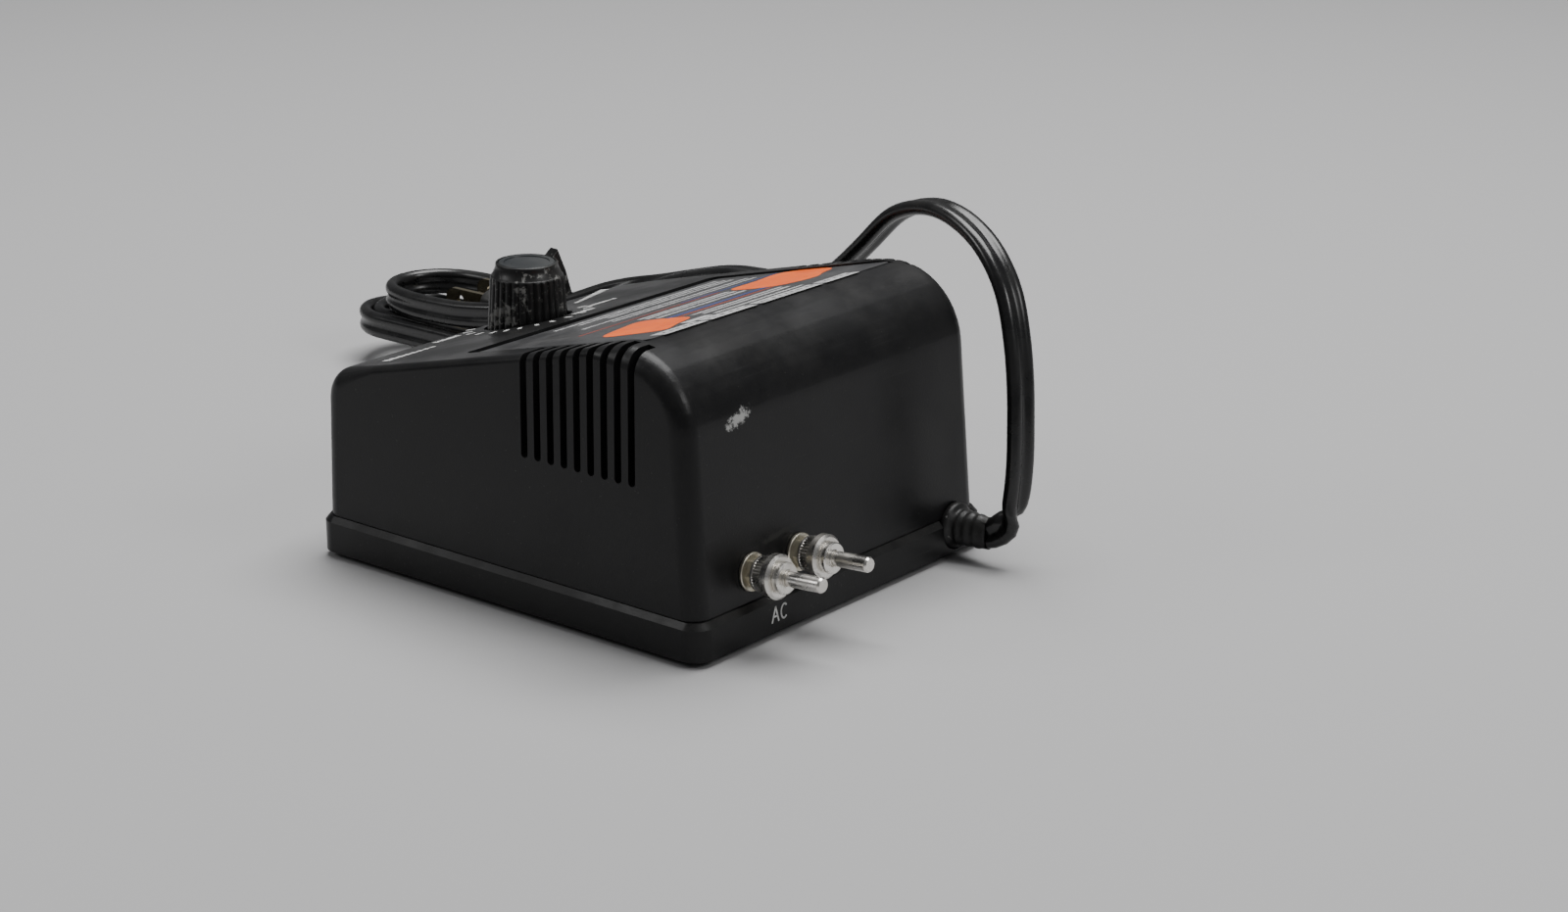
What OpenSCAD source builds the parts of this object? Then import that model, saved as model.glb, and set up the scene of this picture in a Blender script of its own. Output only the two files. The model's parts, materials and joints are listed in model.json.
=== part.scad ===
// Train set controller: a small mains transformer in a wedge-shaped case, with a speed knob on the
// sloping panel, two screw terminals on the rear wall and a flat twin mains lead.
// +Z is up, -Y is the low front with the knob, +Y is the rear with the terminals. Millimetres.

/* [Case] */
// Width of the tray
case_w = 108; // [100:1:124]
// Depth of the tray
case_d = 122; // [116:1:140]
// Height of the sloping panel above the middle of the tray
panel_h = 60.9; // [58:0.1:72]
// Slope of the panel in degrees
panel_slope = 13.9; // [8:0.1:16]
// Wall of the cover
wall = 2.2; // [1.8:0.1:2.6]
// Radius of the cover's corners
corner_r = 4.7; // [4:0.1:6]
// Radius over the top of the rear wall
rear_r = 19; // [15:0.5:22]
// Radius over the top of the front wall
front_r = 8; // [6:0.5:10]
// Height of the rubber feet below the tray
foot_h = 1.5; // [1:0.1:3]

/* [Vents] */
// Vent slots on each side
vent_n = 9; // [5:1:9]
// Distance from slot to slot
vent_pitch = 4.08; // [3.6:0.02:4.1]
// Width of a slot
vent_w = 2; // [1.4:0.1:2.2]

/* [Knob] */
// Radius of the knob at its foot
knob_r = 10.2; // [9:0.1:10.4]
// Grip flutes round the knob
flutes = 40; // [24:2:48]
// Distance from the middle of the tray forward to the knob
knob_fwd = 40.4; // [38:0.1:42]

/* [Terminals] */
// Distance between the two terminal posts
post_gap = 16.8; // [14:0.1:20]
// Radius of a terminal post
post_r = 2; // [1.8:0.1:2.2]
// Length of a post outside the wall
post_out = 20.8; // [18:0.1:24]

/* [Transformer] */
// Width of the laminations, and with it their other sizes
lam_w = 52; // [46:1:54]
// Thickness of the stack of laminations
lam_stack = 24; // [20:1:26]

/* [Mains lead] */
// Width of the flat twin cord
cord_w = 7.6; // [6:0.1:8]
// Thickness of the flat twin cord
cord_t = 3.8; // [3:0.1:4]

/* [Hidden] */

$fn = 48;
side_draft = 0.7;
front_draft = 1.7;
rear_draft = 4.2;
rim_z = 10.4;                       // top of the tray's wall
cover_z = rim_z + 0.2;              // bottom of the cover's outer wall
lip_z = 5;                          // bottom of the lip that drops inside the tray
floor_z = foot_h + 2.2;             // inside of the tray's floor
cover_hx = case_w/2 - 1.3;
cover_front = -case_d/2 + 1.3;
cover_rear = case_d/2 - 1.6;
edge_r = 2;                         // soft edge between the panel and the sides

function side_x(z) = cover_hx - tan(side_draft)*(z - cover_z);
function rear_y(z) = cover_rear - tan(rear_draft)*(z - cover_z);
function panel_z(y) = panel_h + tan(panel_slope)*y;

// Each outer plane in the Y-Z section as an outward normal and its distance from the origin.
panel_n = [-sin(panel_slope), cos(panel_slope)];
panel_c = cos(panel_slope)*panel_h;
rear_n = [cos(rear_draft), sin(rear_draft)];
rear_c = rear_n*[cover_rear, cover_z];
front_n = [-cos(front_draft), sin(front_draft)];
front_c = front_n*[cover_front, cover_z];

// The point where two such planes, each moved inwards by d, meet.
function meet(a, ac, b, bc, d) =
    let(det = a[0]*b[1] - a[1]*b[0])
    [((ac - d)*b[1] - (bc - d)*a[1])/det, (a[0]*(bc - d) - b[0]*(ac - d))/det];
rear_arc = meet(rear_n, rear_c, panel_n, panel_c, rear_r);
front_arc = meet(front_n, front_c, panel_n, panel_c, front_r);

// The whole part is moved back so that the middle of its box stands on the origin.
post_z = 17.5;
post_face = rear_y(post_z);
post_x = [16.5, 16.5 + post_gap];
reach = post_face + post_out*cos(rear_draft) + (post_r - 0.5)*sin(rear_draft);
shift_y = (case_d/2 - reach)/2;
module placed() { translate([0, shift_y, 0]) children(); }

// Plan places
knob_y = -knob_fwd;
boss_x = 46;
boss_y = [-51, 44];
gland = [-42.5, 8];                 // X and Z of the cord's way out
gland_end = 70.5;                   // end of the strain relief
lam_x = -14;                        // middle of the transformer
lam_y = 26;
lam_z = 7.4;
leg = lam_w/6;                      // half of the middle leg, and the width of a window
board_x = [20, 47];
board_y = [-22, 38];
board_z = 8.4;
plate_z = 34;                       // top of the bracket that holds the speed control
shaft_top = 59;
shaft_r = 3;
run = 0.05;                         // running clearance

// A box with its middle on the Z axis, its foot at z and its upright edges rounded.
module slab(w, d, h, r, z = 0) {
    translate([0, 0, z]) {
        translate([-w/2 + r, -d/2, 0]) cube([w - 2*r, d, h]);
        translate([-w/2, -d/2 + r, 0]) cube([w, d - 2*r, h]);
        for (x = [-1, 1], y = [-1, 1])
            translate([x*(w/2 - r), y*(d/2 - r), 0]) cylinder(r = r, h = h);
    }
}

// A ring or disc on the Z axis with both outer edges chamfered.
module ring(r, h, bore = 0, chamfer = 0) {
    rotate_extrude($fn = 64)
        polygon([[bore, 0], [r - chamfer, 0], [r, chamfer], [r, h - chamfer], [r - chamfer, h], [bore, h]]);
}

// One ball of the cover's skin: a turned distance w inside the outer surface, ball radius rr.
module skin_ball(centre, arc_r, a, w, rr, n) {
    at = centre + (arc_r - w - rr)*[cos(a), sin(a)];
    for (s = [-1, 1]) translate([s*(side_x(at[1]) - w - rr), at[0], at[1]]) sphere(r = rr, $fn = n);
}

// The cover's solid wedge, w inside its outer surface and reaching down to z.
module wedge(w, z, steps, n) {
    rc = corner_r - min(w, 3);
    re = max(edge_r - w, 0.6);
    hull() {
        for (i = [0:steps])
            skin_ball(rear_arc, rear_r, rear_draft + (90 + panel_slope - rear_draft)*i/steps, w, rc, n);
        for (i = [0:steps/3])
            skin_ball(front_arc, front_r, 180 - front_draft - (90 - panel_slope - front_draft)*i/(steps/3),
                w, rc, n);
        for (y = [-42, 27])
            skin_ball([y, panel_z(y)] - front_r*panel_n, front_r, 90 + panel_slope, w, re, n);
        for (s = [-1, 1]) {
            translate([s*(cover_hx - w - rc), cover_front + w + rc, z]) cylinder(r = rc, h = 1, $fn = n);
            translate([s*(cover_hx - w - rc), cover_rear - w - rc, z]) cylinder(r = rc, h = 1, $fn = n);
        }
    }
}

// Places of the four bosses that take the cover's screws.
module at_bosses() {
    for (x = [-boss_x, boss_x], y = boss_y) translate([x, y, 0]) children();
}

// A place 3 mm in from one corner of the circuit board.
module at_hole(x, y, z) {
    translate([x + (x < 30 ? 3 : -3), y + (y < 0 ? 3 : -3), z]) children();
}

// A vent slot's outline, extruded along X: open upwards and round at its foot.
module vent_slot(x0, x1, y) {
    foot = 38.5 + vent_w/2;
    translate([min(x0, x1), y, foot]) rotate([90, 0, 90]) linear_extrude(abs(x1 - x0)) {
        circle(d = vent_w, $fn = 24);
        translate([-vent_w/2, 0]) square([vent_w, 50]);
    }
}
vent_in = [44.9, -47.2];            // inner ends of the slots on the right and on the left
vent_last = 40.7;
recess_x = [-45.5, 43.5];
recess_y = [-19.5, 46];
recess_t = 0.8;

module on_panel(y) {
    translate([0, y, panel_z(y)]) rotate([panel_slope, 0, 0]) children();
}

module top_cover() {
    color([0.07, 0.07, 0.075]) placed() difference() {
        union() {
            wedge(0, cover_z, 12, 36);
            translate([0, (cover_front + cover_rear)/2, 0])
                slab(case_w - 4.8, cover_rear - cover_front - 1.6, cover_z + 1 - lip_z, corner_r - 1.1, lip_z);
            for (x = post_x) at_post(x, -1.2) ring(5.4, 1.3);
        }
        difference() {
            wedge(wall, lip_z - 1, 6, 20);
            at_bosses() translate([0, 0, floor_z + 5]) cylinder(r = 3.6, h = 90);
        }
        at_bosses() translate([0, 0, -1]) cylinder(r = 1.5, h = 31);
        for (i = [0:vent_n - 1]) {
            y = vent_last - i*vent_pitch;
            vent_slot(vent_in[0], case_w/2 + 2, y);
            vent_slot(vent_in[1], -case_w/2 - 2, y);
        }
        translate([0, knob_y, 35]) cylinder(r = knob_r + 0.8, h = 30, $fn = 64);
        on_panel(0) translate([(recess_x[0] + recess_x[1])/2, (recess_y[0] + recess_y[1])/2/cos(panel_slope), 0])
            slab(recess_x[1] - recess_x[0], (recess_y[1] - recess_y[0])/cos(panel_slope), 20, 2.5, -recess_t);
        for (x = post_x) at_post(x, -8) cylinder(r = post_r + 0.1, h = 14);
        translate([gland[0], case_d/2 + 5, gland[1]]) rotate([90, 0, 0]) cylinder(r = 4.3, h = 12);
    }
}

module base_tray() {
    color([0.06, 0.06, 0.065]) placed() difference() {
        union() {
            difference() {
                union() {
                    slab(case_w, case_d, 7.5, 5, foot_h);
                    hull() {
                        slab(case_w, case_d, 0.1, 5, foot_h + 7.4);
                        slab(case_w - 2.4, case_d - 2.4, 0.1, 3.8, rim_z - 0.1);
                    }
                }
                slab(case_w - 4.2, case_d - 4.2, 20, 2.9, floor_z);
            }
            at_bosses() translate([0, 0, floor_z - 1]) cylinder(r = 4, h = 5.7);
            for (x = [-1, 1])
                translate([lam_x + x*(lam_w/2 + 3.6), lam_y, floor_z - 1]) cylinder(r = 3.6, h = 3.4);
            for (x = [-1, 1]) translate([x*24, knob_y, floor_z - 1]) cylinder(r = 3.6, h = 3.4);
            for (x = board_x, y = board_y)
                at_hole(x, y, floor_z - 1) cylinder(r = 2.6, h = board_z - floor_z + 1);
        }
        at_bosses() {
            translate([0, 0, -1]) cylinder(r = 1.6, h = 20);
            translate([0, 0, -1]) cylinder(r = 3.3, h = 6);
        }
        for (x = [-1, 1]) translate([lam_x + x*(lam_w/2 + 3.6), lam_y, floor_z - 1]) cylinder(r = 1.4, h = 9);
        for (x = [-1, 1]) translate([x*24, knob_y, floor_z - 1]) cylinder(r = 1.4, h = 9);
        for (x = board_x, y = board_y)
            at_hole(x, y, floor_z) cylinder(r = 1.2, h = 9);
        for (x = [-36, 36], y = [-52, 52]) translate([x, y, -1]) cylinder(r = 5.1, h = foot_h + 1.5);
        translate([gland[0], case_d/2 + 5, gland[1]]) rotate([90, 0, 0]) cylinder(r = 5.9, h = 12);
        translate([gland[0] - 5.9, case_d/2 - 7, gland[1]]) cube([11.8, 12, 9]);
    }
}

module rubber_feet() {
    color([0.16, 0.16, 0.16]) placed()
        for (x = [-36, 36], y = [-52, 52]) translate([x, y, 0]) ring(5, foot_h + 0.45, 0, 0.4);
}

// A pan-head screw standing on its head at z = 0, with its shank upwards.
module screw(head_r, head_h, shank_r, length) {
    difference() {
        ring(head_r, head_h, 0, 0.3);
        for (a = [0, 90]) rotate([0, 0, a])
            translate([-head_r*0.6, -0.35, -1]) cube([head_r*1.2, 0.7, 1 + head_h*0.55]);
    }
    translate([0, 0, head_h - 0.1]) cylinder(r = shank_r, h = length - 1 + 0.1);
    translate([0, 0, head_h + length - 1]) cylinder(r1 = shank_r, r2 = shank_r*0.4, h = 1, $fn = 32);
}

module cover_screws() {
    color([0.72, 0.72, 0.70]) placed() at_bosses() translate([0, 0, 2.9]) screw(3, 2.1, 1.45, 18);
}

module label_plate() {
    color([0.55, 0.55, 0.57]) placed()
        on_panel(0) translate([(recess_x[0] + recess_x[1])/2, 10.5, 0])
            slab(recess_x[1] - recess_x[0] - 1, 57, 0.3, 2, -recess_t + 0.02);
}

// Speed control. Its shaft stands upright, and the knob comes up through a round hole in the panel.
knob_foot = 46.5;
knob_shoulder = 62.4;
pointer_a = 174;
shoulder_r = knob_r*0.9;
function flute_ring(r) = [for (i = [0:flutes*4 - 1])
    let(a = 360*i/(flutes*4), k = [0, 0.35, 0.35, 0][i % 4]) (r - k)*[cos(a), sin(a)]];

module control_knob() {
    color([0.05, 0.05, 0.05]) placed() translate([0, knob_y, 0]) difference() {
        union() {
            translate([0, 0, knob_foot]) linear_extrude(knob_shoulder - knob_foot, scale = shoulder_r/knob_r)
                polygon(flute_ring(knob_r));
            translate([0, 0, knob_shoulder - 0.1]) cylinder(r1 = shoulder_r - 0.3, r2 = 7.7, h = 2.1, $fn = 64);
            // the pointer ridge, clear of the panel all the way round
            rotate([0, 0, pointer_a]) translate([0, 2.1, 0]) rotate([90, 0, 0])
                linear_extrude(4.2) polygon([[6, 55.2], [13.4, 55.2], [12.6, 57.5], [10.4, 63], [9.3, 67.5], [7.35, 67.5],
                    [7.35, 60], [6, 60]]);
        }
        translate([0, 0, 63.2]) cylinder(r = 7.25, h = 5);
        difference() {
            translate([0, 0, knob_foot - 1]) cylinder(r = shaft_r, h = shaft_top - knob_foot + 1.3);
            translate([shaft_r - 1, -5, knob_foot + 3]) cube([10, 10, 20]);
        }
    }
}

module knob_cap() {
    color([0.2, 0.2, 0.2]) placed() translate([0, knob_y, 63.25]) difference() {
        ring(7.2, 2.75, 0, 0.4);
        translate([0, 0, 2.45]) cylinder(r1 = 5.6, r2 = 6, h = 1);
    }
}

module control_shaft() {
    color([0.75, 0.75, 0.74]) placed() translate([0, knob_y, 0]) difference() {
        translate([0, 0, 21]) cylinder(r = shaft_r - run, h = shaft_top - 21);
        translate([shaft_r - 1 - run, -5, knob_foot + 2.95]) cube([10, 10, 20]);
    }
}

module wiper_arm() {
    color([0.78, 0.6, 0.28]) placed() translate([0, knob_y, 0]) difference() {
        union() {
            translate([0, 0, 22.5]) cylinder(r = 5, h = 0.6);
            translate([-11, -1.6, 22.5]) cube([9, 3.2, 0.6]);
            translate([-11, -1.6, 22.45]) cube([1.6, 3.2, 1.7]);
        }
        translate([0, 0, 20]) cylinder(r = shaft_r - run + 0.02, h = 5);
    }
}

module control_body() {
    color([0.35, 0.3, 0.22]) placed() translate([0, knob_y, 0]) difference() {
        union() {
            translate([0, 0, 18]) cylinder(r = 14, h = 14.8);
            translate([0, 0, 32.7]) cylinder(r = 4.6, h = 8.3);
        }
        translate([0, 0, 19.4]) cylinder(r = 12.9, h = 6.4);
        translate([0, 0, 18]) cylinder(r = shaft_r, h = 25);
    }
}

module resistance_track() {
    color([0.25, 0.25, 0.25]) placed() translate([0, knob_y, 24.25]) difference() {
        cylinder(r = 12.6, h = 1.5);
        translate([0, 0, -1]) cylinder(r = 8.6, h = 4);
        translate([-2, -20, -1]) cube([4, 14, 4]);
    }
}

module control_lugs() {
    color([0.8, 0.75, 0.6]) placed() translate([0, knob_y, 0])
        for (x = [-5, 0, 5]) translate([x - 1, 14.02, 21]) difference() {
            cube([2, 6, 0.8]);
            translate([1, 4.4, -1]) cylinder(r = 0.6, h = 3);
        }
}

module control_bracket() {
    color([0.7, 0.71, 0.7]) placed() translate([0, knob_y, 0]) difference() {
        union() {
            translate([-20, -9, plate_z - 1.2]) cube([40, 18, 1.2]);
            for (s = [-1, 1]) {
                translate([s*19.4 - 0.6, -9, floor_z + 2.4]) cube([1.2, 18, plate_z - floor_z - 2.4]);
                translate([s*23.8 - 5, -5, floor_z + 2.4]) cube([10, 10, 1.2]);
            }
        }
        translate([0, 0, plate_z - 5]) cylinder(r = 4.7, h = 10);
        for (s = [-1, 1]) translate([s*24, 0, 0]) cylinder(r = 1.7, h = 20);
    }
}

module bracket_screws() {
    color([0.72, 0.72, 0.7]) placed() for (s = [-1, 1])
        translate([s*24, knob_y, floor_z + 5.2]) mirror([0, 0, 1]) screw(2.7, 1.6, 1.35, 4.6);
}

module control_washer() {
    color([0.6, 0.6, 0.6]) placed() translate([0, knob_y, plate_z]) ring(7, 0.8, 4.65);
}

module control_nut() {
    color([0.75, 0.75, 0.75]) placed() translate([0, knob_y, plate_z + 0.8]) difference() {
        cylinder(d = 14, h = 2.5, $fn = 6);
        translate([0, 0, -1]) cylinder(r = 4.65, h = 5);
    }
}

// Transformer: laminations with two windows, a bobbin on the middle leg and two windings on it.
win_z = lam_z + leg;
win_h = 3*leg;
module core_outline() {
    difference() {
        translate([-lam_w/2, 0]) square([lam_w, 5*leg]);
        for (s = [-1, 1]) translate([s*1.5*leg - leg/2, leg]) square([leg, win_h]);
    }
}
module transformer_core() {
    color([0.32, 0.33, 0.35]) placed() translate([lam_x, lam_y + lam_stack/2, lam_z])
        rotate([90, 0, 0]) linear_extrude(lam_stack) core_outline();
}
// A wall round the middle leg, from one distance outside it to another.
module round_leg(inner, outer, z, h, r) {
    translate([lam_x, lam_y, 0]) difference() {
        slab(2*(leg + outer), lam_stack + 2*outer, h, r, z);
        slab(2*(leg + inner), lam_stack + 2*inner, h + 2, 0.4, z - 1);
    }
}
flange_w = leg - 0.35;
coil_w = leg - 1.1;
half_h = (win_h - 0.4)/2 - 2;
module transformer_bobbin() {
    color([0.85, 0.83, 0.76]) placed() union() {
        round_leg(0.2, 1.1, win_z + 0.2, win_h - 0.4, 0.8);
        for (z = [0.2, win_h/2 - 0.6, win_h - 1.4]) round_leg(0.2, flange_w, win_z + z, 1.2, 1.2);
    }
}
module primary_winding() {
    color([0.62, 0.3, 0.12]) placed() round_leg(1.15, coil_w, win_z + 1.5, half_h, 2.5);
}
module secondary_winding() {
    color([0.7, 0.38, 0.16]) placed() round_leg(1.15, coil_w, win_z + win_h/2 + 0.75, half_h, 2.5);
}
module winding_tape() {
    color([0.9, 0.78, 0.2]) placed() for (z = [1.5, win_h/2 + 0.75])
        translate([lam_x, lam_y, 0]) difference() {
            slab(2*(leg + coil_w) + 0.6, lam_stack + 2*coil_w + 0.6, half_h - 0.2, 2.8, win_z + z + 0.1);
            slab(2*(leg + coil_w) + 0.04, lam_stack + 2*coil_w + 0.04, half_h + 2, 2.5, win_z + z - 1);
        }
}
module transformer_frame() {
    t = 1.2;
    hw = lam_w/2 + 0.1;
    top = 5*leg + 0.1;
    color([0.68, 0.69, 0.7]) placed() translate([lam_x, lam_y, 0]) difference() {
        union() {
            translate([-hw - t, -8, floor_z + 2.4]) cube([t, 16, lam_z + top - floor_z - 2.4]);
            translate([hw, -8, floor_z + 2.4]) cube([t, 16, lam_z + top - floor_z - 2.4]);
            translate([-hw - t, -8, lam_z + top]) cube([2*(hw + t), 16, t]);
            for (s = [-1, 1]) translate([s*(hw + 3.5) - 3.5, -5, floor_z + 2.4]) cube([7, 10, t]);
        }
        for (s = [-1, 1]) translate([s*(lam_w/2 + 3.6), 0, 0]) cylinder(r = 1.7, h = 20);
    }
}
module transformer_screws() {
    color([0.72, 0.72, 0.7]) placed() for (s = [-1, 1])
        translate([lam_x + s*(lam_w/2 + 3.6), lam_y, floor_z + 5.2]) mirror([0, 0, 1])
            screw(2.2, 1.6, 1.35, 4.6);
}
module thermal_fuse() {
    color([0.85, 0.85, 0.82]) placed()
        translate([lam_x - 6, lam_y - lam_stack/2 - coil_w - 2.5, win_z + 7]) rotate([0, 90, 0]) ring(2, 12, 0, 0.4);
}

// Circuit board and what stands on it
module circuit_board() {
    color([0.55, 0.42, 0.2]) placed() difference() {
        translate([board_x[0], board_y[0], board_z])
            cube([board_x[1] - board_x[0], board_y[1] - board_y[0], 1.6]);
        for (x = board_x, y = board_y)
            at_hole(x, y, 0) cylinder(r = 1.5, h = 20);
    }
}
board_top = board_z + 1.6;
module board_screws() {
    color([0.72, 0.72, 0.7]) placed() for (x = board_x, y = board_y)
        at_hole(x, y, board_top + 1.4) mirror([0, 0, 1]) screw(2.2, 1.4, 1.15, 5.4);
}
module heat_sink() {
    color([0.78, 0.79, 0.8]) placed() translate([24, 12, board_top]) difference() {
        cube([18, 14, 26]);
        for (i = [0:3]) translate([2 + i*4, 3, -1]) cube([2.2, 20, 40]);
    }
}
module triac() {
    color([0.12, 0.12, 0.12]) placed() translate([28, 7.4, board_top]) {
        translate([0, 0, 5]) cube([10, 4.55, 15]);
        for (x = [2, 4.7, 7.4]) translate([x, 2, 0]) cube([0.8, 0.6, 5.1]);
    }
}
module film_capacitor() {
    color([0.7, 0.2, 0.12]) placed() translate([23, -13, board_top]) slab_at(9, 14, 12, 1.5);
}
module slab_at(w, d, h, r) { translate([w/2, d/2, 0]) slab(w, d, h, r); }
module choke_coil() {
    color([0.65, 0.36, 0.14]) placed() translate([39.7, -8, board_top]) rotate_extrude()
        translate([4.6, 2.6]) circle(r = 2.6, $fn = 24);
}
module resistors() {
    color([0.75, 0.62, 0.42]) placed() for (i = [0:2])
        translate([33.5 + i*3.2, 26.5, board_top + 1.3]) rotate([-90, 0, 0]) ring(1.25, 7, 0, 0.4);
}
module circuit_breaker() {
    color([0.1, 0.1, 0.1]) placed() translate([-44, -22, floor_z]) {
        cube([13, 20, 15]);
        for (y = [5, 14]) translate([6, y - 0.4, 15]) cube([5, 0.8, 6]);
    }
}

// Wires and the cord are swept: rings of points round a smooth line through the route's points.
function spline(p, i, t) =
    let(a = p[max(i - 1, 0)], b = p[i], c = p[i + 1], d = p[min(i + 2, len(p) - 1)])
    0.5*(2*b + (c - a)*t + (2*a - 5*b + 4*c - d)*t*t + (3*b - a - 3*c + d)*t*t*t);
function smooth(p, n) = concat([for (i = [0:len(p) - 2], k = [0:n - 1]) spline(p, i, k/n)], [p[len(p) - 1]]);
function unit(v) = v/norm(v);
function along(l, i) = unit(l[min(i + 1, len(l) - 1)] - l[max(i - 1, 0)]);
// A sweep with half-axes ra and rb, where ra lies along w[i] squared to the line.
module sweep(l, ra, rb, side, w) {
    n = len(l);
    pts = [for (i = [0:n - 1])
        let(t = along(l, i), u = unit(cross(cross(t, w[i]), t)), v = cross(t, u))
        for (k = [0:side - 1]) l[i] + ra*cos(360*k/side)*u + rb*sin(360*k/side)*v];
    quads = [for (i = [0:n - 2], k = [0:side - 1])
        [i*side + k, (i + 1)*side + k, (i + 1)*side + (k + 1) % side, i*side + (k + 1) % side]];
    polyhedron(points = pts, faces = concat([[for (k = [0:side - 1]) k]], quads,
        [[for (k = [side - 1:-1:0]) (n - 1)*side + k]]), convexity = 8);
}
module wire(p, r = 0.9) {
    l = smooth(p, 4);
    sweep(l, r, r, 8, [for (i = l) [0.31, 0.2, 0.93]]);
}

// The mains wires pass behind the core and along the left wall, one to the breaker and one up to the coil.
wall_run = [[gland[0], 49.8, 8], [-40.2, 46.5, 8.8], [-39.6, 43, 10.5], [-41.8, 39.4, 12], [-45.6, 35, 12],
    [-46.2, 24, 12], [-46, 8, 13]];
breaker_end = [[-43, 0, 18.5], [-38.5, -4, 22.3], [-35.5, -7.4, 22.6]];
coil_end = [[-44, 3.5, 17], [-38, 2.2, 23], [-30.8, 2, 26.4]];
module mains_wires() {
    color([0.1, 0.1, 0.1]) placed() {
        wire(concat([for (q = wall_run) q + [0, 0, 1.3]], breaker_end));
        wire(concat([for (q = wall_run) q - [0, 0, 1.3]], coil_end));
    }
}
module primary_wires() {
    z = win_z + 10.5;
    color([0.85, 0.8, 0.75]) placed() {
        wire([[-27, 5.7, z], [-27.1, 3.6, z + 0.2], [-28.1, 2.3, z], [-30.2, 2, z]], 0.7);
        wire([[-19, 5.7, z], [-19.4, 2.5, z + 0.3], [-24, -8, 25], [-29, -15, 22.8], [-32.1, -17, 22.3]], 0.7);
    }
}
module secondary_wires() {
    z = win_z + win_h - 5;
    color([0.7, 0.15, 0.1]) placed() for (s = [-1, 1])
        wire([[lam_x + 9 + s*3, 5.7, z], [lam_x + 9.4 + s*3, 3.5, z - 0.3], [s*3, -3, z - 4],
            [17 + s*2, -16, 18], [27 + s*2, -18, 13], [28.5 + s*2, -17.8, board_top + 0.3]], 0.7);
}
module control_wires() {
    color([0.85, 0.85, 0.3]) placed() for (i = [-1, 0, 1])
        wire([[i*5, knob_y + 20.5, 21.4], [i*5 + 0.3, knob_y + 22.2, 21.6], [13 + i*3, -13, 25],
            [25 + i*3, -4, 26], [31.5 + i*3, 3, 22], [33 + i*3, 4.3, 15], [33 + i*3, 4.4, board_top + 0.3]], 0.7);
}
module output_wires() {
    color([0.15, 0.25, 0.65]) placed() for (k = [0, 1])
        wire([[post_x[k], 55.3, post_z - 7.7], [post_x[k], 51, post_z - 6.2], [post_x[k] - k*2, 43, post_z - 2],
            [24.5 + k*5, 34, 15], [24.5 + k*5, 31, board_top + 0.5]], 0.8);
}

// Terminals: a post square to the drafted rear wall, with Z along the post and z = 0 at the wall's face.
module at_post(x, z) {
    translate([x, post_face, post_z]) rotate([-90 + rear_draft, 0, 0]) translate([0, 0, z]) children();
}
// The free end beyond the thread takes a lug, and a groove parts it from the thread.
module terminal_post(x) {
    color([0.78, 0.77, 0.72]) placed() {
        at_post(x, -6.2) cylinder(r = 3.6, h = 2, $fn = 6);
        at_post(x, -4.3) cylinder(r = post_r, h = 15.5);
        at_post(x, 11.1) cylinder(r = post_r - 0.4, h = 0.5);
        at_post(x, 11.5) cylinder(r = post_r - 0.2, h = post_out - 12);
        at_post(x, post_out - 0.51) cylinder(r1 = post_r - 0.2, r2 = post_r - 0.5, h = 0.5);
    }
}
module terminal_post_1() { terminal_post(post_x[0]); }
module terminal_post_2() { terminal_post(post_x[1]); }
module terminal_washers() {
    color([0.72, 0.7, 0.62]) placed() for (x = post_x) {
        at_post(x, 0.12) ring(4.5, 0.9, post_r + 0.02, 0.2);
        at_post(x, -wall - 0.95) ring(4.3, 0.5, post_r + 0.02, 0.1);
    }
}
module terminal_nuts() {
    color([0.7, 0.66, 0.5]) placed() for (x = post_x) at_post(x, 1.04) difference() {
        cylinder(r = 3.4, h = 1.3, $fn = 6);
        translate([0, 0, -1]) cylinder(r = post_r + 0.02, h = 5);
    }
}
module solder_lugs() {
    color([0.8, 0.78, 0.7]) placed() for (x = post_x) at_post(x, -wall - 1.6) difference() {
        union() {
            ring(3.9, 0.6);
            translate([-1.4, 2, 0]) cube([2.8, 7, 0.6]);
        }
        translate([0, 0, -1]) cylinder(r = post_r + 0.02, h = 5);
        translate([0, 7.6, -1]) cylinder(r = 0.7, h = 5);
    }
}
nut_z = 3.7;                        // foot of the thumb nut above the wall
module clamp_washer(x) {
    color([0.76, 0.74, 0.68]) placed() at_post(x, nut_z - 0.85) ring(4.1, 0.8, post_r + run, 0.15);
}
module clamp_washer_1() { clamp_washer(post_x[0]); }
module clamp_washer_2() { clamp_washer(post_x[1]); }
knurls = 36;
module thumb_nut(x) {
    color([0.8, 0.8, 0.8]) placed() at_post(x, nut_z) difference() {
        union() {
            linear_extrude(2.5) polygon([for (i = [0:knurls*2 - 1])
                (4.25 - (i % 2)*0.3)*[cos(180*i/knurls), sin(180*i/knurls)]]);
            translate([0, 0, 2.4]) ring(5.2, 2.8, 0, 0.6);
            translate([0, 0, 5.1]) ring(3.7, 1.9, 0, 0.3);
        }
        translate([0, 0, -1]) cylinder(r = post_r + run, h = 12);
    }
}
module thumb_nut_1() { thumb_nut(post_x[0]); }
module thumb_nut_2() { thumb_nut(post_x[1]); }

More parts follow.
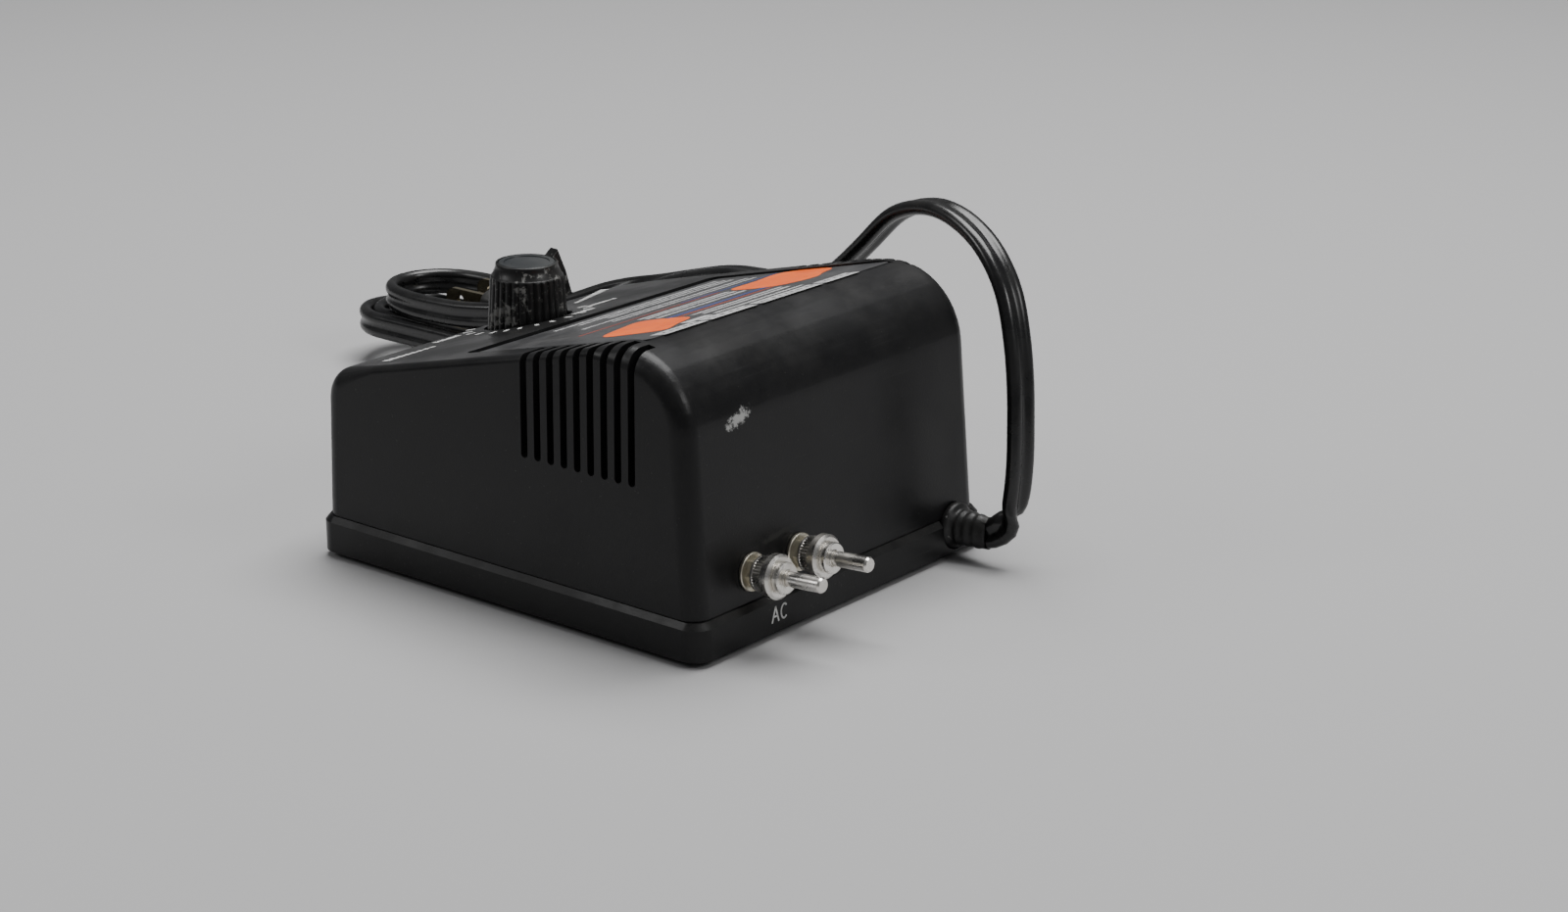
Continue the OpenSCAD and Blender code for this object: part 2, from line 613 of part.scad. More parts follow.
// Strain relief: a round bush in the tray's rear wall, whose slot grips the flat cord on edge.
module strain_relief() {
    color([0.09, 0.09, 0.09]) placed() translate([gland[0], 0, gland[1]]) difference() {
        rotate([-90, 0, 0]) rotate_extrude() polygon([[0, 50], [4.2, 50], [4.2, 59.5], [5.6, 59.5], [5.7, 60.8],
            [5.3, 61.5], [4.6, 61.8], [4.1, 67], [3.95, gland_end - 0.4], [3.5, gland_end], [0, gland_end]]);
        hull() for (s = [-1, 1]) translate([0, 49, s*(cord_w - cord_t)/2]) rotate([-90, 0, 0])
            cylinder(r = cord_t/2 + 0.05, h = 24, $fn = 32);
    }
}

// The lead's route from the strain relief in a stiff arch over to the hank, and once round on top
// of the hank. The directions below say which way the wide side of the cord lies at each point.
route = [[-42.5, 56, 8], [-42.5, 61.2, 8], [-43.3, 65, 10.5], [-44.6, 66.8, 16], [-45.7, 67.2, 25],
    [-47, 66.3, 36], [-48.5, 64.8, 46], [-50, 62.5, 55.5], [-52, 58.7, 65], [-54.2, 53, 72],
    [-56.8, 45.5, 77], [-59.6, 36, 80], [-62.4, 26, 79.8], [-64.8, 15, 75.6], [-66.6, 4, 65.6],
    [-69, -7, 56.5], [-72.8, -20, 50], [-76.8, -36, 48.2], [-80.6, -53, 46], [-84.4, -70, 41.2],
    [-85.5, -82, 37.2], [-82, -96, 33], [-76, -109, 27.3], [-70.6, -125, 23.6], [-68.4, -141, 21.5],
    [-68, -154, 20.9], [-68.6, -165, 20.8], [-71.5, -174, 20.8], [-77.5, -179, 20.8], [-85, -179.3, 20.8],
    [-92, -175, 20.8], [-96.2, -166, 20.8], [-97, -149, 20.8], [-97, -130, 20.8], [-97, -111, 20.8],
    [-96, -90, 20.8], [-94.4, -72, 20.8], [-93.6, -62, 19.6]];
arch_side = [-1, 0.25, 0];
upright = [0, 0, 1];
wide_way = [for (i = [0:len(route) - 1])
    i < 2 ? upright : i < 5 ? upright*(5 - i)/3 + arch_side*(i - 1)/3 :
    i < 19 ? arch_side : i < 24 ? arch_side*(24 - i)/5 + upright*(i - 18)/5 : upright];
tail = [[-80, -80, 9.5], [-81.8, -89, 15], [-82.8, -99, 20], [-83.2, -107, 22.4], [-83.2, -113.3, 22.5]];
tail_way = [for (i = [0:4]) upright*(4 - i)/4 + [i/4, 0, 0]];
module mains_cord() {
    color([0.05, 0.05, 0.05]) {
        sweep(smooth(route, 2), cord_w/2, cord_t/2, 10, smooth(wide_way, 2));
        sweep(smooth(tail, 2), cord_w/2, cord_t/2, 10, smooth(tail_way, 2));
    }
}
hank_x = -82;
hank_r = 17;
hank_rear = -61;                    // middle of the turns at the rear end
hank_front = [-159.5, -175];          // and at the front end, for the lower and the upper layer
hank_z = [1, 8.65, 16.3];
module hank_layer(front, z0, z1) {
    translate([hank_x, 0, z0]) linear_extrude(z1 - z0) {
        for (y = [front, hank_rear]) translate([0, y]) circle(r = hank_r);
        translate([-hank_r, front]) square([2*hank_r, hank_rear - front]);
    }
}
module cord_hank() {
    color([0.06, 0.06, 0.06]) union() {
        hank_layer(hank_front[0], hank_z[0], hank_z[1] + 0.01);
        hank_layer(hank_front[1], hank_z[1], hank_z[2]);
    }
}
tie_t = 0.6;
tie_w = 4;
module cord_tie() {
    w = 2*hank_r + 0.04;
    h = hank_z[2] - hank_z[0] + 0.04;
    color([0.03, 0.03, 0.03]) translate([hank_x, -72, hank_z[0] - 0.02]) difference() {
        translate([-w/2 - tie_t, 0, -tie_t]) cube([w + 2*tie_t, tie_w, h + 2*tie_t]);
        translate([-w/2, -1, 0]) cube([w, tie_w + 2, h]);
    }
}

// Two-pin plug lying on the hank with its blades forward
plug = [-83.2, -113.4, 22.5];         // middle of the plug's cord end
plug_l = 26;
module plug_body() {
    color([0.07, 0.07, 0.07]) translate(plug) rotate([90, 0, 0]) hull() {
        slab(9, 6, 0.5, 2.5);
        translate([0, 0, 7]) slab(21, 11.2, 1, 3);
        translate([0, 0, plug_l - 3]) slab(23, 11.6, 1, 3);
        translate([0, 0, plug_l - 0.5]) slab(20, 9.6, 0.5, 3);
    }
}
module plug_blades() {
    color([0.8, 0.74, 0.5]) translate(plug) for (s = [-1, 1])
        translate([s*6.35 - 0.75, -plug_l - 0.02, 0]) rotate([0, 90, 0]) linear_extrude(1.5) difference() {
            union() {
                translate([-3.15, -13.8]) square([6.3, 13.8]);
                translate([0, -13.8]) circle(r = 3.15);
            }
            translate([0, -11.4]) circle(r = 1.5);
        }
}

top_cover();
base_tray();
rubber_feet();
cover_screws();
label_plate();
control_knob();
knob_cap();
control_shaft();
wiper_arm();
control_body();
resistance_track();
control_lugs();
control_washer();
control_nut();
control_bracket();
bracket_screws();
transformer_core();
transformer_bobbin();
primary_winding();
secondary_winding();
winding_tape();
transformer_frame();
transformer_screws();
thermal_fuse();
circuit_board();
board_screws();
heat_sink();
triac();
film_capacitor();
choke_coil();
resistors();
circuit_breaker();
mains_wires();
primary_wires();
secondary_wires();
control_wires();
output_wires();
terminal_post_1();
terminal_post_2();
terminal_washers();
terminal_nuts();
solder_lugs();
clamp_washer_1();
clamp_washer_2();
thumb_nut_1();
thumb_nut_2();
strain_relief();
mains_cord();
cord_hank();
cord_tie();
plug_body();
plug_blades();
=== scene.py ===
import json
import math

import bmesh
import bpy
import numpy as np
from mathutils import Matrix, Vector

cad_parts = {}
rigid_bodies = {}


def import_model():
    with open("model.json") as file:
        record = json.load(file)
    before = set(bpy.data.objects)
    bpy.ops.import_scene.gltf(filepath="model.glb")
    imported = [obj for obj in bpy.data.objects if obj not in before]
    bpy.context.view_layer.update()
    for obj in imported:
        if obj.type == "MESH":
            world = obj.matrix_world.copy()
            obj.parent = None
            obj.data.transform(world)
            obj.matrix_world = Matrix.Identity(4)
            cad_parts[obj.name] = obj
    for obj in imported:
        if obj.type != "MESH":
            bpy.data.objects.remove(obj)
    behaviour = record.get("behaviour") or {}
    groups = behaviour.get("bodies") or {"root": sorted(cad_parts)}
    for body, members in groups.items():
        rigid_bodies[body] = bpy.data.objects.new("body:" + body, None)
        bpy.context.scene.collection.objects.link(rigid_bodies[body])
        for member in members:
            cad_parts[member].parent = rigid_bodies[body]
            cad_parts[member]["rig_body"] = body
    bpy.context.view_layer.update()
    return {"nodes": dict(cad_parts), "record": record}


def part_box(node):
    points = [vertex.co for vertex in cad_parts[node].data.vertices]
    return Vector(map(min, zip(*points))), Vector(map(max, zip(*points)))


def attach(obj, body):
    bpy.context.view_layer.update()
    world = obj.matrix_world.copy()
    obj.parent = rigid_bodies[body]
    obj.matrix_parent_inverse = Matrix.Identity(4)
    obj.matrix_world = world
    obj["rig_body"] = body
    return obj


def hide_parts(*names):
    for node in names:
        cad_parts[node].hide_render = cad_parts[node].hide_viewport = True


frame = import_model()
nodes = frame["nodes"]
scene = bpy.context.scene
mm = 0.001
print("frame loaded:", len(nodes), "nodes")

# camera and studio
camera = {
    "place": (0.52413, 0.45909, 0.25541),
    "back": (0.73621, 0.59997, 0.31309),
    "lens": 70.0,
    "sensor": 36.0,
}


def makeCamera(c):
    data = bpy.data.cameras.new("viewCamera")
    data.lens = c["lens"]
    data.sensor_width = c["sensor"]
    data.clip_start = 0.02
    data.clip_end = 20.0
    back = Vector(c["back"]).normalized()
    right = Vector((0, 0, 1)).cross(back).normalized()
    up = back.cross(right)
    turn = Matrix((right, up, back)).transposed().to_4x4()
    made = bpy.data.objects.new("viewCamera", data)
    made.matrix_world = Matrix.Translation(Vector(c["place"])) @ turn
    scene.collection.objects.link(made)
    scene.camera = made


makeCamera(camera)

studio = {
    "floorSize": 9.0,
    "floorTone": 0.42,
    "worldTone": (0.62, 0.63, 0.65),
    "worldPower": 0.21,
    # name: place, aims at, width, height, watts
    "lamps": {
        "topBox": ((-0.35, -0.1, 1.3), (0.0, 0.0, 0.03), 1.1, 0.9, 28.5),
        "sideBox": ((-0.2, 1.3, 1.0), (0.0, 0.0, 0.04), 0.5, 0.4, 5.0),
        "frontBox": ((0.9, -0.9, 0.9), (0.0, 0.0, 0.03), 0.4, 0.4, 3.0),
    },
}


# mesh tools
# A mesh object at the origin from an array of points and an array of faces.
def meshObject(name, verts, faces, smooth=True):
    mesh = bpy.data.meshes.new(name)
    mesh.from_pydata(np.asarray(verts, float).reshape(-1, 3).tolist(), [], [list(f) for f in faces])
    mesh.validate()
    mesh.polygons.foreach_set("use_smooth", np.full(len(mesh.polygons), smooth))
    mesh.update()
    made = bpy.data.objects.new(name, mesh)
    scene.collection.objects.link(made)
    return made


# Quads of a tube of nu rings with nv points each.
def gridFaces(nu, nv):
    i, j = np.meshgrid(np.arange(nu - 1), np.arange(nv), indexing="ij")
    k = (j + 1) % nv
    quads = np.stack([i * nv + j, i * nv + k, (i + 1) * nv + k, (i + 1) * nv + j], -1)
    return quads.reshape(-1, 4).tolist()


# Quads that join the last ring of a grid to its first.
def gridLoop(nu, nv):
    j = np.arange(nv)
    k = (j + 1) % nv
    return np.stack([(nu - 1) * nv + j, (nu - 1) * nv + k, k, j], -1).tolist()


# Points of shape (rings, around, 3), skinned and closed with one flat face at each end.
def closedTube(name, points):
    rings, around = points.shape[:2]
    faces = gridFaces(rings, around)
    faces.append(list(range(around))[::-1])
    faces.append([(rings - 1) * around + k for k in range(around)])
    made = meshObject(name, points, faces)
    fixNormals(made)
    return made


def fixNormals(made):
    work = bmesh.new()
    work.from_mesh(made.data)
    bmesh.ops.remove_doubles(work, verts=work.verts, dist=1e-6)
    bmesh.ops.recalc_face_normals(work, faces=work.faces)
    work.to_mesh(made.data)
    work.free()


def unit(v):
    return v / np.maximum(np.linalg.norm(v, axis=-1, keepdims=True), 1e-12)


# A Catmull-Rom line through the points, each stretch a cubic in t with steps samples.
def roundedLine(points, steps):
    p = np.asarray(points, float)
    q = np.vstack([p[:1], p, p[-1:]])
    t = (np.arange(steps) / steps)[None, :, None]
    a, b, c, d = q[:-3, None], q[1:-2, None], q[2:-1, None], q[3:, None]
    square = (2 * a - 5 * b + 4 * c - d) * t**2
    cube = (3 * b - a - 3 * c + d) * t**3
    line = 0.5 * (2 * b + (c - a) * t + square + cube)
    return np.vstack([line.reshape(-1, p.shape[1]), p[-1:]])


# The line resampled at even distances, carrying its extra columns with it.
def evenSteps(line, step):
    run = np.r_[0, np.cumsum(np.linalg.norm(np.diff(line[:, :3], axis=0), axis=1))]
    at = np.linspace(0, run[-1], max(int(run[-1] / step), 2) + 1)
    return np.stack([np.interp(at, run, line[:, k]) for k in range(line.shape[1])], 1)


def softStep(x, a, b):
    t = np.clip((x - a) / (b - a), 0, 1)
    return t * t * (3 - 2 * t)


# mains cord, made first
cordFacts = {
    "lobe": 1.9,                   # radius of each conductor's covering
    "step": 2.0,
    "hankX": -82.0,
    "hankRear": -61.0,
    "front": (-159.5, -175.0),     # middle of the front turn, last lap and first laps
    "radii": (11.1, 15.1),         # of the end turns, inner and outer laps
    "heights": (4.8, 12.5),        # of the low laps and the high laps
    "entry": 19.4,                 # height at which the route comes in
    "laps": 3.12,
    "turn": 0.133,                 # share of a lap that one end turn takes
}
route = [(-42.5, 56, 8), (-42.5, 61.2, 8), (-43.3, 65, 10.5), (-44.6, 66.8, 16),
         (-45.7, 67.2, 25), (-47, 66.3, 36), (-48.5, 64.8, 46), (-50, 62.5, 55.5),
         (-52, 58.7, 65), (-54.2, 53, 72), (-56.8, 45.5, 77), (-59.6, 36, 80),
         (-62.4, 26, 79.8), (-64.8, 15, 75.6), (-66.6, 4, 65.6), (-69, -7, 56.5),
         (-72.8, -20, 50), (-76.8, -36, 48.2), (-80.6, -53, 46), (-84.4, -70, 41.2),
         (-85.5, -82, 37.2), (-82, -96, 33), (-76, -109, 27.3), (-70.6, -125, 23.6),
         (-68.4, -141, 21.5), (-68, -154, 20.9), (-68.6, -165, 20.8), (-71.5, -174, 20.8),
         (-77.5, -179, 20.8), (-85, -179.3, 20.8), (-92, -175, 20.8), (-96.2, -166, 20.8),
         (-97, -149, 20.8), (-97, -130, 20.8), (-97, -111, 20.8), (-96, -90, 20.8),
         (-94.4, -72, 20.8), (-93.6, -62, 19.6)]
tail = [(-71, -66, 4.8), (-73, -70, 4.8), (-77, -75, 6), (-80, -80, 9.5),
        (-81.8, -89, 15), (-82.8, -99, 20), (-83.2, -107, 22.4), (-83.2, -113.3, 22.5)]


# Which way the wide side lies at each point of the route: upright, across the arch, upright.
def wideWays(count):
    side = np.array([-1, 0.25, 0])
    up = np.array([0, 0, 1.0])
    i = np.arange(count)[:, None]
    share = np.where(i < 12, softStep(i, 1, 5), 1 - softStep(i, 18, 24))
    return up * (1 - share) + side * share


# Laps of a long racetrack: rear turn, near run, front turn, far run. Radius, height and the place
# of the front turn change softly from lap to lap, so no strand meets another.
def hankLine(c):
    s = np.linspace(0.02, c["laps"], 900)
    lap = s % 1.0
    small, large = c["radii"]
    low, high = c["heights"]
    r = small + (large - small) * (softStep(s, 0.66, 0.92) - softStep(s, 2.16, 2.46))
    z = high - (high - low) * softStep(s, 1.52, 1.76)
    z = z + (c["entry"] - high) * (1 - softStep(s, 0.0, 0.16))
    front = c["front"][1] + (c["front"][0] - c["front"][1]) * softStep(s, 1.9, 2.1)
    rear = c["hankRear"]
    turn = c["turn"]
    run = 0.5 - turn
    rearAngle = np.where(lap < turn, np.pi - np.pi * lap / turn, 0)
    forth = np.clip((lap - turn) / run, 0, 1)
    frontAngle = -np.pi * np.clip((lap - 0.5) / turn, 0, 1)
    back = np.clip((lap - 0.5 - turn) / run, 0, 1)
    stretch = [lap < turn, lap < 0.5, lap < 0.5 + turn]
    x = np.select(stretch, [r * np.cos(rearAngle), r, r * np.cos(frontAngle)], -r)
    y = np.select(stretch, [rear + r * np.sin(rearAngle), rear + (front - rear) * forth,
                            front + r * np.sin(frontAngle)], front + (rear - front) * back)
    return np.stack([c["hankX"] + x, y, z], 1)


# The whole lead as rows of place and wide direction, in millimetres, at even steps.
def cordLine(c):
    first = np.hstack([np.array(route, float), wideWays(len(route))])
    laps = hankLine(c)
    up = np.tile([0, 0, 1.0], (len(laps), 1))
    last = np.array(tail, float)
    share = np.linspace(0, 1, len(tail))[:, None] ** 2
    end = np.hstack([last, np.array([0, 0, 1.0]) * (1 - share) + np.array([1.0, 0, 0]) * share])
    line = np.vstack([roundedLine(first, 10)[:-1], np.hstack([laps, up]), roundedLine(end, 10)[1:]])
    line = evenSteps(line, 1.0)
    # a short running mean takes the corners out of the joins
    kernel = np.hanning(9)
    kernel = kernel / kernel.sum()
    soft = np.stack([np.convolve(line[:, k], kernel, "same") for k in range(6)], 1)
    line[6:-6] = soft[6:-6]
    return evenSteps(line, c["step"])


# Two round lobes side by side with a groove between them, as (across, through) pairs.
def twinSection(c, around=14):
    half = np.radians(np.linspace(-136, 136, around))
    right = np.stack([c["lobe"] + c["lobe"] * np.cos(half), c["lobe"] * np.sin(half)], 1)
    return np.vstack([right, -right])


def makeCord(c):
    line = cordLine(c)
    place, wide = line[:, :3], line[:, 3:]
    ahead = unit(np.gradient(place, axis=0))
    across = unit(wide - (wide * ahead).sum(1, keepdims=True) * ahead)
    through = np.cross(ahead, across)
    section = twinSection(c)
    sideways = section[None, :, :1] * across[:, None]
    rings = place[:, None] + sideways + section[None, :, 1:] * through[:, None]
    made = closedTube("mainsLead", rings * mm)
    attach(made, "root")
    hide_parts("mains_cord", "cord_hank")
    return made, place * mm


mainsLead, leadPath = makeCord(cordFacts)
leadLength = float(np.linalg.norm(np.diff(leadPath, axis=0), axis=1).sum())
print("lead made:", round(leadLength, 3), "m")

plugFacts = {
    "rear": (-83.2, -113.4, 22.5),
    # distance forward, half width, half thickness
    "stations": ((0.0, 4.2, 2.9), (0.8, 4.7, 3.2), (3.5, 6.2, 4.0), (6.5, 9.4, 5.2), (9.5, 10.6, 5.6),
                 (15.0, 10.9, 5.7), (21.0, 11.4, 5.75), (24.0, 11.5, 5.75), (25.3, 11.1, 5.4),
                 (26.0, 10.0, 4.6)),
    "ribs": 5,
    "ribStart": 8.5,
    "ribPitch": 2.5,
    "ribDepth": 0.45,
}


# A superellipse carried along the plug's length: |x/a|^n + |z/b|^n = 1 with n from 2.2 to 4, and
# shallow grip grooves across its flat sides.
def makePlug(p):
    s = roundedLine(np.array(p["stations"]), 10)
    t, a, b = s[:, 0:1], s[:, 1:2], s[:, 2:3]
    phi = np.linspace(0, 2 * np.pi, 72, endpoint=False)[None, :]
    power = 2.2 + 1.8 * softStep(t, 3, 12)
    cx = np.sign(np.cos(phi)) * np.abs(np.cos(phi)) ** (2 / power)
    cz = np.sign(np.sin(phi)) * np.abs(np.sin(phi)) ** (2 / power)
    wave = 0.5 - 0.5 * np.cos(2 * np.pi * (t - p["ribStart"]) / p["ribPitch"])
    inside = (t > p["ribStart"]) & (t < p["ribStart"] + p["ribs"] * p["ribPitch"])
    groove = p["ribDepth"] * np.where(inside, wave**2, 0) * softStep(np.abs(np.cos(phi)), 0.2, 0.5)
    x = (a - groove) * cx
    z = (b - 0.4 * groove) * cz
    x0, y0, z0 = p["rear"]
    rings = np.stack([x0 + x, y0 - t + 0 * phi, z0 + z], -1) * mm
    made = closedTube("plugShell", rings)
    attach(made, "root")
    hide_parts("plug_body")
    return made


plugShell = makePlug(plugFacts)


# A CAD node's mesh with its doubles merged, shaded smooth up to an angle; it stands for the node.
def finishedCopy(node, name, sharp=32.0):
    mesh = nodes[node].data.copy()
    mesh.materials.clear()
    work = bmesh.new()
    work.from_mesh(mesh)
    bmesh.ops.remove_doubles(work, verts=work.verts, dist=2e-6)
    bmesh.ops.dissolve_degenerate(work, edges=work.edges, dist=1e-6)
    for edge in work.edges:
        edge.smooth = len(edge.link_faces) == 2 and edge.calc_face_angle(0.0) < math.radians(sharp)
    for face in work.faces:
        face.smooth = True
    work.to_mesh(mesh)
    work.free()
    made = bpy.data.objects.new(name, mesh)
    scene.collection.objects.link(made)
    weighted = made.modifiers.new("weighted", "WEIGHTED_NORMAL")
    weighted.mode = "FACE_AREA"
    weighted.weight = 90
    weighted.keep_sharp = True
    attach(made, nodes[node]["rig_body"])
    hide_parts(node)
    return made


def camel(node):
    words = node.split("_")
    return words[0] + "".join(w.capitalize() for w in words[1:])


slotOf = {s["node"]: s["material_slot"] for s in frame["record"]["subparts"]}
ownMesh = ("mains_cord", "cord_hank", "plug_body", "control_knob", "strain_relief")
finished = {n: finishedCopy(n, camel(n)) for n in sorted(nodes) if n not in ownMesh}
print("nodes finished:", len(finished))

# knob and strain relief
footReach = 57.0                                     # rear edge of the feet from the tray's middle
knobForward = 40.4                                   # knob's axis from the tray's middle
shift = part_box("rubber_feet")[1].y / mm - footReach  # the tray's middle against the origin
knobFacts = {
    "axis": (0.0, -knobForward + shift),
    "foot": 46.5,
    "shoulder": 62.6,
    "top": 66.0,
    "footR": 10.2,
    "shoulderR": 9.15,
    "rimR": 7.75,
    "boreR": 7.22,
    "flutes": 30,
    "fluteDepth": 0.6,
    "pointer": 174.0,      # degrees
    "pointerHalf": 11.0,   # half its width in degrees
    "pointerTop": 67.6,
    "pointerR": 13.3,      # reach of the ridge at its foot
    "boreFloor": 63.3,
    "shaftR": 3.0,
}


# The knob's outline as (radius, height), up the outside, over the rim and down into the bore, then
# under the skirt. The last five points are inside and take neither flutes nor pointer.
def knobOutline(k):
    footR, foot, shoulderR, shoulder = k["footR"], k["foot"], k["shoulderR"], k["shoulder"]
    rimR, boreR, top = k["rimR"], k["boreR"], k["top"]
    wall = [(footR - 0.9, foot), (footR - 0.25, foot + 0.1), (footR, foot + 0.6)]
    for h in np.linspace(foot + 1.2, shoulder - 0.6, 26):
        wall.append((footR + (shoulderR - footR) * (h - foot) / (shoulder - foot), h))
    bend = np.radians(np.linspace(0, 58, 9))
    for b in bend[1:]:
        wall.append((shoulderR - 1.1 * (1 - math.cos(b)), shoulder - 0.6 + 1.1 * math.sin(b)))
    wall += [(rimR + 0.12, top - 1.35), (rimR, top - 0.9), (rimR - 0.02, top - 0.3),
             (rimR - 0.14, top - 0.08), (rimR - 0.27, top), (boreR + 0.06, top - 0.03),
             (boreR, top - 0.2), (boreR, k["boreFloor"]), (k["shaftR"], k["boreFloor"]),
             (k["shaftR"], foot + 3), (8.6, foot + 3), (8.8, foot)]
    return wall


# Radius as a function of height and angle: a cone with soft flutes |cos(n a / 2)|, a rounded
# shoulder, a rim and the recess inside it, and a raised pointer ridge on one side.
def makeKnob(k):
    wall = knobOutline(k)
    r, h = np.array(wall).T
    around = k["flutes"] * 12
    a = np.linspace(0, 2 * np.pi, around, endpoint=False)[None, :]
    r, h = r[:, None], h[:, None]
    outer = np.zeros_like(r)
    outer[:len(wall) - 5] = 1
    foot, shoulder = k["foot"], k["shoulder"]
    cut = softStep(h, foot + 0.3, foot + 1.5) * (1 - softStep(h, shoulder - 0.7, shoulder + 0.2))
    flute = k["fluteDepth"] * cut * outer * (1 - np.abs(np.cos(k["flutes"] * a / 2)) ** 0.7)
    off = np.abs((np.degrees(a) - k["pointer"] + 180) % 360 - 180)
    ridge = 1 - softStep(off, k["pointerHalf"] - 2.5, k["pointerHalf"] + 1.5)
    rim = outer * (r > k["boreR"] + 0.02)
    tall = softStep(h, 54.9, 55.7) * rim
    want = k["pointerR"] - 0.28 * (h - 55) - 1.1 * softStep(h, 62.0, 66.0)
    radius = r - flute * (1 - ridge * tall)
    radius = radius + np.maximum(want - radius, 0) * ridge * tall
    h = h + (k["pointerTop"] - k["top"]) * ridge * softStep(h, 62.5, 65.6) * rim
    x = k["axis"][0] + radius * np.cos(a)
    y = k["axis"][1] + radius * np.sin(a)
    faces = gridFaces(len(wall), around) + gridLoop(len(wall), around)
    made = meshObject("speedKnob", np.stack([x, y, h], -1) * mm, faces)
    fixNormals(made)
    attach(made, "knob")
    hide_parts("control_knob")
    return made


speedKnob = makeKnob(knobFacts)

reliefFacts = {
    "x": -42.5,
    "z": 8.0,
    "from": 50.0,
    "out": 70.5,
    "lumps": 3,
    "lumpPitch": 2.3,
    "slotHalf": (1.95, 3.82),     # half the cord slot, across and upright
    "around": 96,
}


# A turned bush with a flange and low soft rings along its barrel, and a slot for the flat cord:
# each ring of points runs from the outer circle to the slot's stadium outline.
def makeRelief(f):
    side = [(4.15, f["from"]), (4.2, f["from"] + 0.3), (4.2, 59.45), (5.4, 59.5), (5.65, 59.7), (5.7, 60.6),
            (5.55, 61.2), (5.2, 61.5), (4.7, 61.75)]
    for i in range(f["lumps"]):
        y = 62.3 + i * f["lumpPitch"]
        thin = 0.08 * i
        side += [(4.3 - thin, y), (4.52 - thin, y + 0.6), (4.5 - thin, y + 1.2), (4.28 - thin, y + 1.8)]
    side += [(4.05, 69.6), (3.95, 70.1), (3.85, f["out"] - 0.1), (3.82, f["out"])]
    r, y = np.array(side).T[:, :, None]
    a = np.linspace(0, 2 * np.pi, f["around"], endpoint=False)
    cx, cz = np.cos(a), np.sin(a)
    # the barrel narrows across towards its end, but stays tall enough for the slot
    narrow = 1 - 0.28 * softStep(y, 61.8, 69.5)
    outer = np.stack([r * cx * narrow, y + shift + 0 * a, np.maximum(r, 4.02) * cz], -1)
    across, upright = f["slotHalf"]
    slotX = across * np.sign(cx) * np.minimum(1, np.abs(cx) * 1.6)
    slotZ = upright * np.sign(cz) * np.abs(cz) ** 0.8
    slot = np.stack([slotX, 0 * a, slotZ], -1)
    inner = np.stack([slot + [0, f["out"] + shift - d, 0] for d in (0.0, 0.15, 10.0, 20.5)])
    inner[0] *= [1.04, 1, 1.0]
    rings = np.concatenate([outer, inner]) + [f["x"], 0, f["z"]]
    faces = gridFaces(len(rings), f["around"]) + gridLoop(len(rings), f["around"])
    made = meshObject("strainRelief", rings * mm, faces)
    fixNormals(made)
    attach(made, "root")
    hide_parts("strain_relief")
    return made


strainRelief = makeRelief(reliefFacts)
print("knob and strain relief made")

# print on the panel
panelFacts = {"height": 60.9, "slope": 13.9, "ink": 0.035}
slopeSin = math.sin(math.radians(panelFacts["slope"]))
slopeCos = math.cos(math.radians(panelFacts["slope"]))
knobUp = -knobForward / slopeCos      # the knob's axis along the panel


# Points given across the panel, up its slope and proud of it, all in millimetres.
def onPanel(x, up, lift):
    x, up, lift = np.broadcast_arrays(x, up, float(lift))
    y = up * slopeCos - lift * slopeSin + shift
    z = panelFacts["height"] + up * slopeSin + lift * slopeCos
    return np.stack([x, y, z], -1) * mm


# Thin closed prisms on the panel, one for each outline of (across, up) points.
def printedShapes(name, outlines, base, material):
    verts, faces = [], []
    count = 0
    for outline in outlines:
        o = np.asarray(outline, float)
        n = len(o)
        for lift in (base, base + panelFacts["ink"]):
            verts.append(onPanel(o[:, 0], o[:, 1], lift))
        faces.append([count + k for k in range(n)][::-1])
        faces.append([count + n + k for k in range(n)])
        for k in range(n):
            m = (k + 1) % n
            faces.append([count + k, count + m, count + n + m, count + n + k])
        count += 2 * n
    made = meshObject(name, np.vstack(verts), faces, smooth=False)
    fixNormals(made)
    made.data.materials.append(material)
    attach(made, "root")


def bar(x0, x1, y0, y1):
    return [(x0, y0), (x1, y0), (x1, y1), (x0, y1)]


# A closed outline rounded through its points.
def softBlob(points, steps=5):
    p = np.array(points, float)
    q = np.vstack([p[-1:], p, p[:2]])
    return roundedLine(q, steps)[steps:-steps - 1].tolist()


# A dial tick as a bar that points away from the knob.
def tick(angle, near, far, half):
    a = math.radians(angle)
    c, s = math.cos(a), math.sin(a)
    corners = bar(near, far, -half, half)
    return [(r * c - t * s, knobUp + r * s + t * c) for r, t in corners]


# materials: shader groups shared by many finishes, then one table of finishes
def addNode(tree, kind, values=None, **settings):
    made = tree.nodes.new(kind)
    for key, value in settings.items():
        setattr(made, key, value)
    for key, value in (values or {}).items():
        made.inputs[key].default_value = value
    return made


# A node group with a Vector input, the named inputs with their defaults, and number outputs.
def newGroup(name, inputs, outputs):
    tree = bpy.data.node_groups.new(name, "ShaderNodeTree")
    for label, value in {"Vector": (0, 0, 0), **inputs}.items():
        kind = "NodeSocketVector" if isinstance(value, tuple) else "NodeSocketFloat"
        made = tree.interface.new_socket(label, in_out="INPUT", socket_type=kind)
        made.default_value = value
    for label in outputs:
        tree.interface.new_socket(label, in_out="OUTPUT", socket_type="NodeSocketFloat")
    return tree, addNode(tree, "NodeGroupInput"), addNode(tree, "NodeGroupOutput")


def mathNode(tree, operation, a, b, clamp=False):
    made = addNode(tree, "ShaderNodeMath", operation=operation, use_clamp=clamp)
    for socket, value in zip(made.inputs, (a, b)):
        if isinstance(value, (int, float)):
            socket.default_value = value
        else:
            tree.links.new(value, socket)
    return made.outputs[0]


